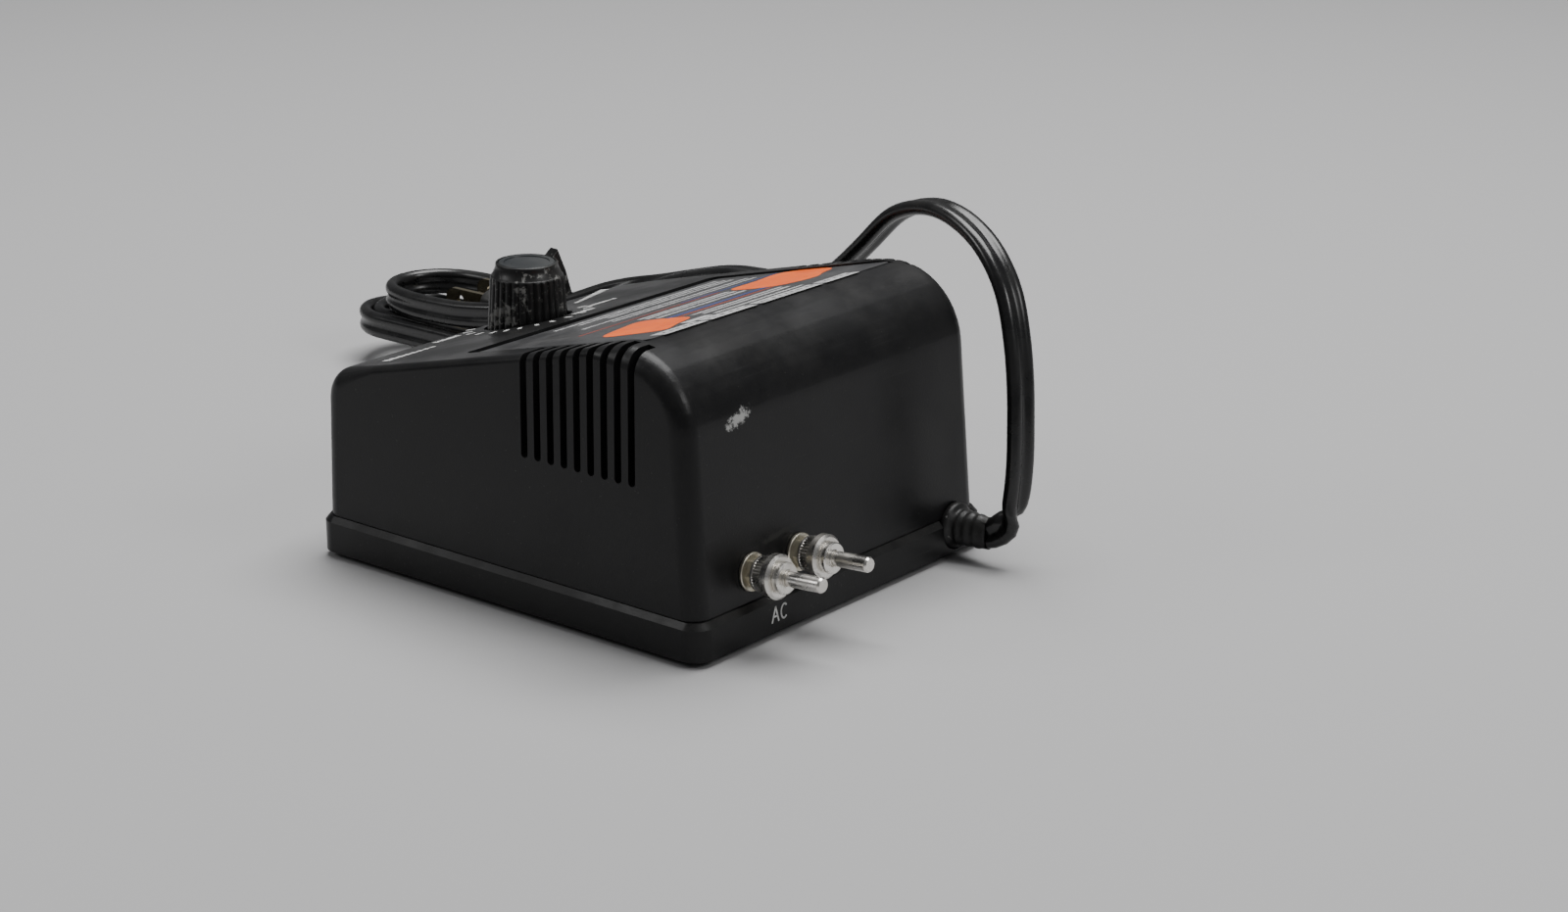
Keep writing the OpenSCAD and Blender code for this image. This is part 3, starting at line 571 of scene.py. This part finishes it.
def ramp(tree, value, low, high):
    made = addNode(tree, "ShaderNodeMapRange", {"From Min": low, "From Max": high},
                   interpolation_type="SMOOTHSTEP")
    tree.links.new(value, made.inputs["Value"])
    return made.outputs["Result"]


def noise(tree, vector, scale, detail=3.0, rough=0.55):
    made = addNode(tree, "ShaderNodeTexNoise", {"Detail": detail, "Roughness": rough})
    tree.links.new(vector, made.inputs["Vector"])
    if isinstance(scale, (int, float)):
        made.inputs["Scale"].default_value = scale
    else:
        tree.links.new(scale, made.inputs["Scale"])
    return made.outputs["Fac"]


# Moulded grain: a fine noise for the height, a broad one for the mottle.
def makeGrainGroup():
    tree, inward, outward = newGroup("mouldedGrain", {"Grain Scale": 1500.0, "Mottle Scale": 60.0},
                                     ["Height", "Mottle"])
    fine = noise(tree, inward.outputs["Vector"], inward.outputs["Grain Scale"], 2.0)
    broad = noise(tree, inward.outputs["Vector"], inward.outputs["Mottle Scale"], 4.0, 0.6)
    tree.links.new(fine, outward.inputs["Height"])
    tree.links.new(ramp(tree, broad, 0.35, 0.68), outward.inputs["Mottle"])
    return tree


# Worn patches: fine and broad noise in one sum, kept above a limit that Amount lowers.
def makeWearGroup():
    tree, inward, outward = newGroup("wornPatches", {"Scale": 200.0, "Amount": 0.2}, ["Mask"])
    fine = noise(tree, inward.outputs["Vector"], inward.outputs["Scale"], 5.0, 0.7)
    coarse = mathNode(tree, "MULTIPLY", inward.outputs["Scale"], 0.16)
    broad = noise(tree, inward.outputs["Vector"], coarse, 2.0)
    most = mathNode(tree, "MULTIPLY", fine, 0.6)
    both = mathNode(tree, "ADD", most, mathNode(tree, "MULTIPLY", broad, 0.4))
    limit = mathNode(tree, "SUBTRACT", 0.74, mathNode(tree, "MULTIPLY", inward.outputs["Amount"], 0.3))
    over = mathNode(tree, "SUBTRACT", both, limit)
    tree.links.new(mathNode(tree, "MULTIPLY", over, 22.0, True), outward.inputs["Mask"])
    return tree


# Hairline scratches: noise stretched along one direction, only its thin crests kept.
def makeScratchGroup():
    tree, inward, outward = newGroup("hairScratches", {"Turn": (0.3, 0.2, 0.6), "Amount": 0.3}, ["Mask"])
    mapping = addNode(tree, "ShaderNodeMapping", {"Scale": (35.0, 1600.0, 900.0)})
    tree.links.new(inward.outputs["Vector"], mapping.inputs["Vector"])
    tree.links.new(inward.outputs["Turn"], mapping.inputs["Rotation"])
    lines = noise(tree, mapping.outputs["Vector"], 1.0, 1.0)
    where = noise(tree, inward.outputs["Vector"], 45.0, 2.0)
    thin = ramp(tree, lines, 0.66, 0.74)
    some = mathNode(tree, "MULTIPLY", ramp(tree, where, 0.45, 0.7), inward.outputs["Amount"])
    tree.links.new(mathNode(tree, "MULTIPLY", thin, some, True), outward.inputs["Mask"])
    return tree


# Dust: the part of the surface that faces up, broken by noise, with scattered specks.
def makeDustGroup():
    tree, inward, outward = newGroup("settledDust", {"Amount": 0.2}, ["Mask"])
    facing = addNode(tree, "ShaderNodeTexCoord")
    parts = addNode(tree, "ShaderNodeSeparateXYZ")
    tree.links.new(facing.outputs["Normal"], parts.inputs[0])
    up = ramp(tree, parts.outputs["Z"], -0.2, 1.0)
    cloud = ramp(tree, noise(tree, inward.outputs["Vector"], 70.0, 6.0, 0.7), 0.35, 0.75)
    speck = ramp(tree, noise(tree, inward.outputs["Vector"], 1500.0, 1.0), 0.74, 0.80)
    film = mathNode(tree, "MULTIPLY", mathNode(tree, "MULTIPLY", up, cloud), inward.outputs["Amount"])
    dots = mathNode(tree, "MULTIPLY", speck, mathNode(tree, "MULTIPLY", inward.outputs["Amount"], 2.0))
    tree.links.new(mathNode(tree, "MAXIMUM", film, dots), outward.inputs["Mask"])
    return tree


# A scuff: the inside of a stretched ball round a place, with a ragged edge.
def makeScuffGroup():
    sockets = {"Place": (0, 0, 0), "Size": (1, 1, 1), "Turn": (0, 0, 0)}
    tree, inward, outward = newGroup("raggedScuff", sockets, ["Mask"])
    away = addNode(tree, "ShaderNodeVectorMath", operation="SUBTRACT")
    tree.links.new(inward.outputs["Vector"], away.inputs[0])
    tree.links.new(inward.outputs["Place"], away.inputs[1])
    turned = addNode(tree, "ShaderNodeVectorRotate", rotation_type="EULER_XYZ")
    tree.links.new(away.outputs[0], turned.inputs["Vector"])
    tree.links.new(inward.outputs["Turn"], turned.inputs["Rotation"])
    share = addNode(tree, "ShaderNodeVectorMath", operation="DIVIDE")
    tree.links.new(turned.outputs[0], share.inputs[0])
    tree.links.new(inward.outputs["Size"], share.inputs[1])
    far = addNode(tree, "ShaderNodeVectorMath", operation="LENGTH")
    tree.links.new(share.outputs[0], far.inputs[0])
    rag = mathNode(tree, "MULTIPLY", noise(tree, inward.outputs["Vector"], 700.0, 6.0, 0.8), 2.6)
    edge = mathNode(tree, "ADD", far.outputs["Value"], rag)
    tree.links.new(ramp(tree, edge, 2.12, 1.72), outward.inputs["Mask"])
    return tree


grainGroup = makeGrainGroup()
wearGroup = makeWearGroup()
scratchGroup = makeScratchGroup()
dustGroup = makeDustGroup()
scuffGroup = makeScuffGroup()

# what a finish is unless its own row says otherwise
plain = {
    "colour": (0.02, 0.02, 0.02), "second": None, "rough": 0.5, "roughSpread": 0.1, "metal": 0.0,
    "specular": 0.5, "coat": 0.0, "grain": 1500.0, "mottle": 60.0, "bump": 0.1, "wear": 0.0,
    "wearScale": 200.0, "wearColour": (0.3, 0.3, 0.3), "scratch": 0.0,
    "scratchColour": (0.25, 0.25, 0.25), "dust": 0.0, "scuffs": (),
}
rearScuffs = (
    # place, size, turn, colour
    ((0.0341, 0.0475, 0.053), (0.006, 0.008, 0.002), (0.0, -0.3, 0.0), (0.42, 0.42, 0.41)),
    ((0.0225, 0.05, 0.0235), (0.011, 0.006, 0.001), (0.0, -0.1, 0.0), (0.03, 0.03, 0.028)),
)
finishes = {
    "cover_plastic": {"colour": (0.0075, 0.0075, 0.008), "second": (0.011, 0.011, 0.0115),
        "rough": 0.35, "specular": 0.26, "roughSpread": 0.14, "grain": 2200.0, "mottle": 42.0,
        "bump": 0.12, "wear": 0.12, "wearScale": 420.0, "wearColour": (0.03, 0.03, 0.03),
        "scratch": 0.12, "scratchColour": (0.05, 0.05, 0.05), "dust": 0.05, "scuffs": rearScuffs},
    "tray_plastic": {"colour": (0.007, 0.007, 0.0075), "second": (0.011, 0.011, 0.011),
        "rough": 0.37, "specular": 0.26, "roughSpread": 0.14, "grain": 2200.0, "bump": 0.12,
        "wear": 0.22, "wearScale": 500.0, "wearColour": (0.05, 0.05, 0.05), "scratch": 0.2,
        "scratchColour": (0.08, 0.08, 0.08), "dust": 0.09},
    "foot_rubber": {"colour": (0.03, 0.03, 0.03), "second": (0.05, 0.05, 0.05), "rough": 0.85,
        "grain": 1200.0, "bump": 0.3, "dust": 0.2},
    "knob_plastic": {"colour": (0.007, 0.007, 0.007), "second": (0.013, 0.013, 0.013),
        "rough": 0.34, "specular": 0.36, "grain": 1800.0, "bump": 0.15, "wear": 0.62,
        "wearScale": 520.0, "wearColour": (0.2, 0.2, 0.19), "scratch": 0.2, "dust": 0.12},
    "cap_plastic": {"colour": (0.02, 0.023, 0.025), "second": (0.03, 0.033, 0.035), "rough": 0.32,
        "bump": 0.06, "grain": 900.0, "scratch": 0.3, "dust": 0.1},
    "relief_pvc": {"colour": (0.009, 0.009, 0.009), "second": (0.016, 0.016, 0.016), "rough": 0.45,
        "grain": 1500.0, "bump": 0.2, "wear": 0.42, "wearScale": 520.0,
        "wearColour": (0.3, 0.3, 0.29), "dust": 0.2},
    "cord_pvc": {"colour": (0.006, 0.006, 0.0065), "second": (0.010, 0.010, 0.010), "rough": 0.27,
        "roughSpread": 0.12, "specular": 0.55, "grain": 900.0, "mottle": 90.0, "bump": 0.06,
        "wear": 0.06, "wearScale": 300.0, "wearColour": (0.04, 0.04, 0.04), "dust": 0.05},
    "tie_nylon": {"colour": (0.02, 0.02, 0.02), "rough": 0.5, "bump": 0.1},
    "plug_pvc": {"colour": (0.008, 0.008, 0.008), "second": (0.014, 0.014, 0.014), "rough": 0.42,
        "grain": 1300.0, "bump": 0.16, "wear": 0.15, "wearScale": 300.0,
        "wearColour": (0.07, 0.07, 0.07), "dust": 0.15},
    "blade_brass": {"colour": (0.66, 0.58, 0.40), "second": (0.5, 0.42, 0.26), "rough": 0.24,
        "metal": 1.0, "grain": 700.0, "bump": 0.05, "scratch": 0.5,
        "scratchColour": (0.8, 0.75, 0.6)},
    "nickel": {"colour": (0.86, 0.84, 0.80), "second": (0.74, 0.71, 0.66), "rough": 0.29,
        "roughSpread": 0.14, "metal": 1.0, "grain": 900.0, "mottle": 260.0, "bump": 0.05,
        "wear": 0.1, "wearScale": 700.0, "wearColour": (0.42, 0.38, 0.3), "scratch": 0.4,
        "scratchColour": (0.8, 0.8, 0.78)},
    "tinned_brass": {"colour": (0.66, 0.63, 0.54), "second": (0.52, 0.48, 0.38), "rough": 0.38,
        "roughSpread": 0.2, "metal": 1.0, "mottle": 300.0, "bump": 0.06, "wear": 0.2,
        "wearScale": 600.0, "wearColour": (0.3, 0.22, 0.1)},
    "zinc_steel": {"colour": (0.58, 0.58, 0.56), "second": (0.45, 0.45, 0.43), "rough": 0.35,
        "metal": 1.0, "bump": 0.05, "mottle": 200.0},
    "zinc_sheet": {"colour": (0.5, 0.51, 0.52), "second": (0.62, 0.63, 0.64), "rough": 0.38,
        "metal": 1.0, "grain": 500.0, "mottle": 120.0, "bump": 0.08, "scratch": 0.3,
        "scratchColour": (0.75, 0.75, 0.75)},
    "shaft_metal": {"colour": (0.7, 0.7, 0.69), "second": (0.6, 0.6, 0.59), "rough": 0.3,
        "metal": 1.0, "bump": 0.08},
    "contact_brass": {"colour": (0.72, 0.52, 0.22), "second": (0.6, 0.4, 0.16), "rough": 0.3,
        "metal": 1.0},
    "phenolic": {"colour": (0.13, 0.08, 0.045), "second": (0.18, 0.12, 0.07), "rough": 0.5,
        "mottle": 300.0},
    "track_carbon": {"colour": (0.03, 0.03, 0.03), "second": (0.05, 0.05, 0.05), "rough": 0.6,
        "mottle": 400.0},
    "core_steel": {"colour": (0.09, 0.09, 0.1), "second": (0.14, 0.12, 0.1), "rough": 0.45,
        "metal": 0.6, "bump": 0.3, "grain": 700.0, "wear": 0.2, "wearColour": (0.2, 0.12, 0.07)},
    "bobbin_nylon": {"colour": (0.68, 0.64, 0.54), "second": (0.6, 0.56, 0.46), "rough": 0.45},
    "enamel_copper": {"colour": (0.42, 0.15, 0.05), "second": (0.55, 0.22, 0.08), "rough": 0.28,
        "metal": 0.7, "bump": 0.35, "grain": 900.0},
    "tape_yellow": {"colour": (0.75, 0.58, 0.07), "second": (0.68, 0.5, 0.05), "rough": 0.25,
        "bump": 0.04},
    "fuse_ceramic": {"colour": (0.75, 0.75, 0.7), "second": (0.68, 0.68, 0.63), "rough": 0.25,
        "coat": 0.3},
    "board_phenolic": {"colour": (0.34, 0.2, 0.07), "second": (0.42, 0.27, 0.1), "rough": 0.45,
        "mottle": 500.0},
    "sink_aluminium": {"colour": (0.62, 0.63, 0.64), "second": (0.54, 0.55, 0.56), "rough": 0.36,
        "metal": 1.0},
    "black_epoxy": {"colour": (0.02, 0.02, 0.02), "second": (0.03, 0.03, 0.03), "rough": 0.55,
        "bump": 0.2},
    "capacitor_red": {"colour": (0.42, 0.05, 0.03), "second": (0.34, 0.04, 0.02), "rough": 0.3,
        "coat": 0.2},
    "resistor_ceramic": {"colour": (0.55, 0.44, 0.28), "second": (0.5, 0.38, 0.24), "rough": 0.4},
    "breaker_plastic": {"colour": (0.03, 0.03, 0.03), "second": (0.045, 0.045, 0.045),
        "rough": 0.5},
    "wire_black": {"colour": (0.02, 0.02, 0.02), "rough": 0.4},
    "wire_white": {"colour": (0.7, 0.68, 0.64), "second": (0.6, 0.58, 0.54), "rough": 0.4},
    "wire_red": {"colour": (0.5, 0.04, 0.03), "second": (0.4, 0.03, 0.02), "rough": 0.4},
    "wire_yellow": {"colour": (0.7, 0.6, 0.05), "second": (0.6, 0.5, 0.04), "rough": 0.4},
    "wire_blue": {"colour": (0.03, 0.08, 0.4), "second": (0.02, 0.06, 0.3), "rough": 0.4},
    "label_film": {"colour": (0.035, 0.035, 0.037), "second": (0.055, 0.055, 0.057), "rough": 0.36,
        "mottle": 120.0, "grain": 2600.0, "bump": 0.03, "wear": 0.2, "wearScale": 420.0,
        "wearColour": (0.09, 0.09, 0.09), "scratch": 0.3, "scratchColour": (0.3, 0.3, 0.3),
        "dust": 0.1},
    "inkOrange": {"colour": (0.86, 0.12, 0.012), "second": (0.90, 0.15, 0.02), "rough": 0.4,
        "specular": 0.3, "mottle": 160.0, "bump": 0.02, "wear": 0.1, "wearScale": 500.0,
        "wearColour": (0.5, 0.2, 0.12), "scratch": 0.3, "scratchColour": (0.9, 0.5, 0.35)},
    "inkWhite": {"colour": (0.78, 0.78, 0.76), "second": (0.66, 0.66, 0.65), "rough": 0.5,
        "mottle": 300.0, "bump": 0.05, "wear": 0.5, "wearScale": 900.0,
        "wearColour": (0.05, 0.05, 0.05)},
    "inkGrey": {"colour": (0.40, 0.40, 0.41), "second": (0.30, 0.30, 0.31), "rough": 0.42,
        "mottle": 300.0, "bump": 0.03, "wear": 0.42, "wearScale": 800.0,
        "wearColour": (0.12, 0.12, 0.12)},
    "inkDark": {"colour": (0.03, 0.03, 0.032), "second": (0.045, 0.045, 0.047), "rough": 0.42,
        "bump": 0.03},
    "inkPale": {"colour": (0.46, 0.46, 0.46), "second": (0.56, 0.56, 0.56), "rough": 0.42,
        "mottle": 260.0, "bump": 0.03, "wear": 0.25, "wearScale": 700.0,
        "wearColour": (0.08, 0.08, 0.08)},
    "inkBlue": {"colour": (0.04, 0.06, 0.22), "second": (0.06, 0.08, 0.26), "rough": 0.42,
        "bump": 0.03},
    "inkRed": {"colour": (0.38, 0.05, 0.03), "second": (0.45, 0.07, 0.04), "rough": 0.42,
        "bump": 0.03},
}


dustColour = (0.24, 0.23, 0.21)


def groupNode(tree, group, vector, values):
    made = addNode(tree, "ShaderNodeGroup", node_tree=group)
    for key, value in values.items():
        made.inputs[key].default_value = value
    tree.links.new(vector, made.inputs["Vector"])
    return made


def mixColour(tree, share, first, second):
    made = addNode(tree, "ShaderNodeMix", data_type="RGBA", clamp_factor=True)
    tree.links.new(share, made.inputs["Factor"])
    # sockets 6 and 7 are the two colours, and output 2 is the mixed one
    for socket, value in ((made.inputs[6], first), (made.inputs[7], second)):
        if isinstance(value, tuple):
            socket.default_value = (*value, 1.0)
        else:
            tree.links.new(value, socket)
    return made.outputs[2]


def makeMaterial(name, own):
    f = {**plain, **own}
    made = bpy.data.materials.new(name)
    made.use_nodes = True
    tree = made.node_tree
    shader = tree.nodes["Principled BSDF"]
    vector = addNode(tree, "ShaderNodeTexCoord").outputs["Object"]
    grain = groupNode(tree, grainGroup, vector, {"Grain Scale": f["grain"], "Mottle Scale": f["mottle"]})
    second = f["second"] or tuple(1.4 * c for c in f["colour"])
    colour = mixColour(tree, grain.outputs["Mottle"], f["colour"], second)
    lift = mathNode(tree, "MULTIPLY", grain.outputs["Mottle"], f["roughSpread"])
    height = grain.outputs["Height"]
    if f["wear"]:
        mask = groupNode(tree, wearGroup, vector, {"Scale": f["wearScale"], "Amount": f["wear"]}).outputs[0]
        colour = mixColour(tree, mask, colour, f["wearColour"])
        lift = mathNode(tree, "ADD", lift, mathNode(tree, "MULTIPLY", mask, 0.2))
    if f["scratch"]:
        mask = groupNode(tree, scratchGroup, vector, {"Amount": f["scratch"]}).outputs[0]
        colour = mixColour(tree, mask, colour, f["scratchColour"])
        height = mathNode(tree, "SUBTRACT", height, mask)
    if f["dust"]:
        mask = groupNode(tree, dustGroup, vector, {"Amount": f["dust"]}).outputs[0]
        colour = mixColour(tree, mask, colour, dustColour)
        lift = mathNode(tree, "ADD", lift, mathNode(tree, "MULTIPLY", mask, 0.4))
    for place, size, turn, tone in f["scuffs"]:
        mask = groupNode(tree, scuffGroup, vector, {"Place": place, "Size": size, "Turn": turn}).outputs[0]
        colour = mixColour(tree, mask, colour, tone)
        lift = mathNode(tree, "ADD", lift, mathNode(tree, "MULTIPLY", mask, 0.4))
    tree.links.new(colour, shader.inputs["Base Color"])
    rough = mathNode(tree, "ADD", lift, f["rough"] - 0.5 * f["roughSpread"], True)
    tree.links.new(rough, shader.inputs["Roughness"])
    bump = addNode(tree, "ShaderNodeBump", {"Strength": f["bump"], "Distance": 0.0002})
    tree.links.new(height, bump.inputs["Height"])
    tree.links.new(bump.outputs[0], shader.inputs["Normal"])
    shader.inputs["Metallic"].default_value = f["metal"]
    shader.inputs["Specular IOR Level"].default_value = f["specular"]
    shader.inputs["Coat Weight"].default_value = f["coat"]
    return made


materials = {name: makeMaterial(name, own) for name, own in finishes.items()}
for node, made in finished.items():
    made.data.materials.append(materials[slotOf[node]])
mainsLead.data.materials.append(materials["cord_pvc"])
plugShell.data.materials.append(materials["plug_pvc"])
speedKnob.data.materials.append(materials["knob_plastic"])
strainRelief.data.materials.append(materials["relief_pvc"])
print("materials made:", len(materials))

# print on the label and round the knob: blocks and ticks only
filmFacts = {"recess": 0.8, "gap": 0.02, "thick": 0.3, "clear": 0.005}
filmTop = -filmFacts["recess"] + filmFacts["gap"] + filmFacts["thick"] + filmFacts["clear"]
panelTop = 0.01
labelFacts = {
    "tipPatch": [(34, 16.5), (24, 12.5), (15.5, 12.2), (15.5, 26.5), (24, 30.5), (31, 33), (33.5, 26)],
    "tailPatch": [(-22, 7), (-33, 5.6), (-44, 5.2), (-44.2, 20.3), (-37, 24), (-30, 26.6), (-21.5, 21.5)],
    "patchTall": 0.97,         # height of a patch against its outline
    "rowUp": 37.0,
    "rowTall": 3.6,
    "rowBlocks": ((38, 23.5), (22, 6), (4, -18), (-19.5, -32)),
    "frontRows": (-14.5, -11.8, -9.1, -4.2, -1.5),
    "middleRows": (7.5, 10.0, 13.4, 24.6, 27.4, 31.5),
}


def patch(points):
    return softBlob([(x, y / slopeCos * labelFacts["patchTall"]) for x, y in points])


# Short bars of uneven width, as a row of small print looks from afar.
def wordRow(x0, x1, up, tall, seed, fill=0.72):
    rng = np.random.default_rng(seed)
    x, end = min(x0, x1), max(x0, x1)
    bars = []
    while x < end - 0.6:
        wide = rng.uniform(0.5, 1.25)
        cut = rng.uniform(0.0, 0.22) * tall
        low = up + cut * (rng.random() < 0.4)
        high = up + tall - cut * (rng.random() < 0.4)
        bars.append(bar(x, min(x + wide, end), low, high))
        x += wide / fill
    return bars


def onLabel(name, outlines, ink, lift=filmTop):
    printedShapes(name, outlines, lift, materials[ink])


def onDial(name, outlines):
    onLabel(name, outlines, "inkWhite", panelTop)


def printLabel(f):
    rowUp = f["rowUp"]
    onLabel("labelPatchRight", [patch(f["tipPatch"])], "inkOrange")
    onLabel("labelPatchLeft", [patch(f["tailPatch"])], "inkOrange")
    blocks = [bar(min(p), max(p), rowUp - 2.2, rowUp + f["rowTall"] - 1.0) for p in f["rowBlocks"]]
    onLabel("labelRowGround", blocks, "inkPale")
    words = [b for i, p in enumerate(f["rowBlocks"])
             for b in wordRow(min(p) + 0.8, max(p) - 0.8, rowUp - 0.5, 1.0, 20 + i, 0.4)]
    onLabel("labelRowWords", words, "inkDark", filmTop + panelFacts["ink"] + 0.001)
    front = [b for i, up in enumerate(f["frontRows"])
             for b in wordRow(-40, 20 - 7 * (i % 3), up, 1.4, 40 + i)]
    onLabel("labelRowsFront", front, "inkPale")
    middle = [b for i, up in enumerate(f["middleRows"]) for b in wordRow(-19, 13, up, 1.5, 60 + i, 0.9)]
    onLabel("labelRowsMiddle", middle, "inkPale")
    onLabel("labelLineBlue", [bar(-21, 15, 18.2, 19.7), bar(-44, -8, 2.6, 3.3)], "inkBlue")
    onLabel("labelLineRed", [bar(-20, 14, 21.4, 22.2), bar(-20, 30, 4.6, 5.1)], "inkRed")
    onLabel("labelCorner", [bar(15.2, 24, 31.2, 34.0)], "inkPale")


dialFacts = {
    "tick": (14.0, 16.4, 0.5),         # near end, far end, half width
    "angles": (10, 24, 37, 53, 68, 86, 107, 125, 143, 161, 190, -8, -26, -44, -62),
}


def printDial(f):
    onDial("dialTicks", [tick(a, *f["tick"]) for a in f["angles"]])
    growing = [bar(29.0 + 2.1 * i, 30.4 + 2.1 * i, knobUp - 4.2 - 0.14 * i, knobUp - 3.0 + 0.10 * i)
               for i in range(8)]
    falling = [bar(-24.0 - 2.3 * i, -22.6 - 2.3 * i, knobUp - 6.0 - 1.1 * i, knobUp - 4.6 - 0.9 * i)
               for i in range(9)]
    onDial("dialWedges", growing + falling)
    words = wordRow(15, 24, knobUp - 10.8, 2.2, 81)
    words += wordRow(-24, -14, knobUp + 6.5, 1.8, 82)
    words += wordRow(-10, -3, knobUp + 12.2, 1.8, 83)
    onDial("dialRows", words)


printLabel(labelFacts)
printDial(dialFacts)

markFacts = {"left": 28.3, "low": 4.1, "tall": 3.6, "wide": 2.3, "gap": 0.8, "stroke": 0.45, "lift": 0.03}
boxFaces = ((0, 1, 2, 3), (4, 7, 6, 5), (0, 4, 5, 1), (1, 5, 6, 2), (2, 6, 7, 3), (3, 7, 4, 0))


# Strokes of the letters A and C on the tray's rear wall, as thin closed boxes.
def makeMark(f):
    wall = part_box("base_tray")[1].y / mm
    tall, wide, half = f["tall"], f["wide"], f["stroke"] / 2
    turns = np.radians(np.linspace(50, 310, 12))
    arc = [(0.5 + 0.48 * math.cos(a), 0.5 + 0.48 * math.sin(a)) for a in turns]
    lines = [[(0, 0), (0.5, 1)], [(0.5, 1), (1, 0)], [(0.2, 0.36), (0.8, 0.36)]]
    lines += [[(u + 1 + f["gap"] / wide, v) for u, v in pair] for pair in zip(arc[:-1], arc[1:])]
    verts, faces = [], []
    for (u0, v0), (u1, v1) in lines:
        a = np.array([f["left"] - u0 * wide, f["low"] + v0 * tall])
        b = np.array([f["left"] - u1 * wide, f["low"] + v1 * tall])
        run = unit(b - a) * half
        side = np.array([-run[1], run[0]])
        start, end = a - run * 0.5, b + run * 0.5
        n = len(verts)
        for y in (wall - 0.1, wall + f["lift"]):
            verts += [(p[0], y, p[1]) for p in (start - side, end - side, end + side, start + side)]
        faces += [[n + k for k in quad] for quad in boxFaces]
    made = meshObject("terminalMark", np.array(verts) * mm, faces, smooth=False)
    fixNormals(made)
    made.data.materials.append(materials["inkWhite"])
    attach(made, "root")


makeMark(markFacts)
print("print laid on the panel")


# studio: a flat pale floor, soft lamps and an even surround
def makeStudio(c):
    size = c["floorSize"]
    corners = [(x, y, 0) for x, y in bar(-size, size, -size, size)]
    floor = meshObject("studioFloor", corners, [(0, 1, 2, 3)])
    tone = bpy.data.materials.new("studioTone")
    tone.use_nodes = True
    shader = tone.node_tree.nodes["Principled BSDF"]
    shader.inputs["Base Color"].default_value = (c["floorTone"], c["floorTone"] * 0.995, c["floorTone"], 1)
    shader.inputs["Roughness"].default_value = 0.75
    floor.data.materials.append(tone)
    world = bpy.data.worlds.new("studioAir")
    world.use_nodes = True
    world.node_tree.nodes["Background"].inputs["Color"].default_value = (*c["worldTone"], 1)
    world.node_tree.nodes["Background"].inputs["Strength"].default_value = c["worldPower"]
    scene.world = world
    for name, (place, aim, wide, tall, power) in c["lamps"].items():
        data = bpy.data.lights.new(name, "AREA")
        data.shape = "RECTANGLE"
        data.size, data.size_y, data.energy = wide, tall, power
        made = bpy.data.objects.new(name, data)
        away = (Vector(place) - Vector(aim)).normalized()
        turn = away.to_track_quat("Z", "Y").to_matrix().to_4x4()
        made.matrix_world = Matrix.Translation(Vector(place)) @ turn
        scene.collection.objects.link(made)


makeStudio(studio)
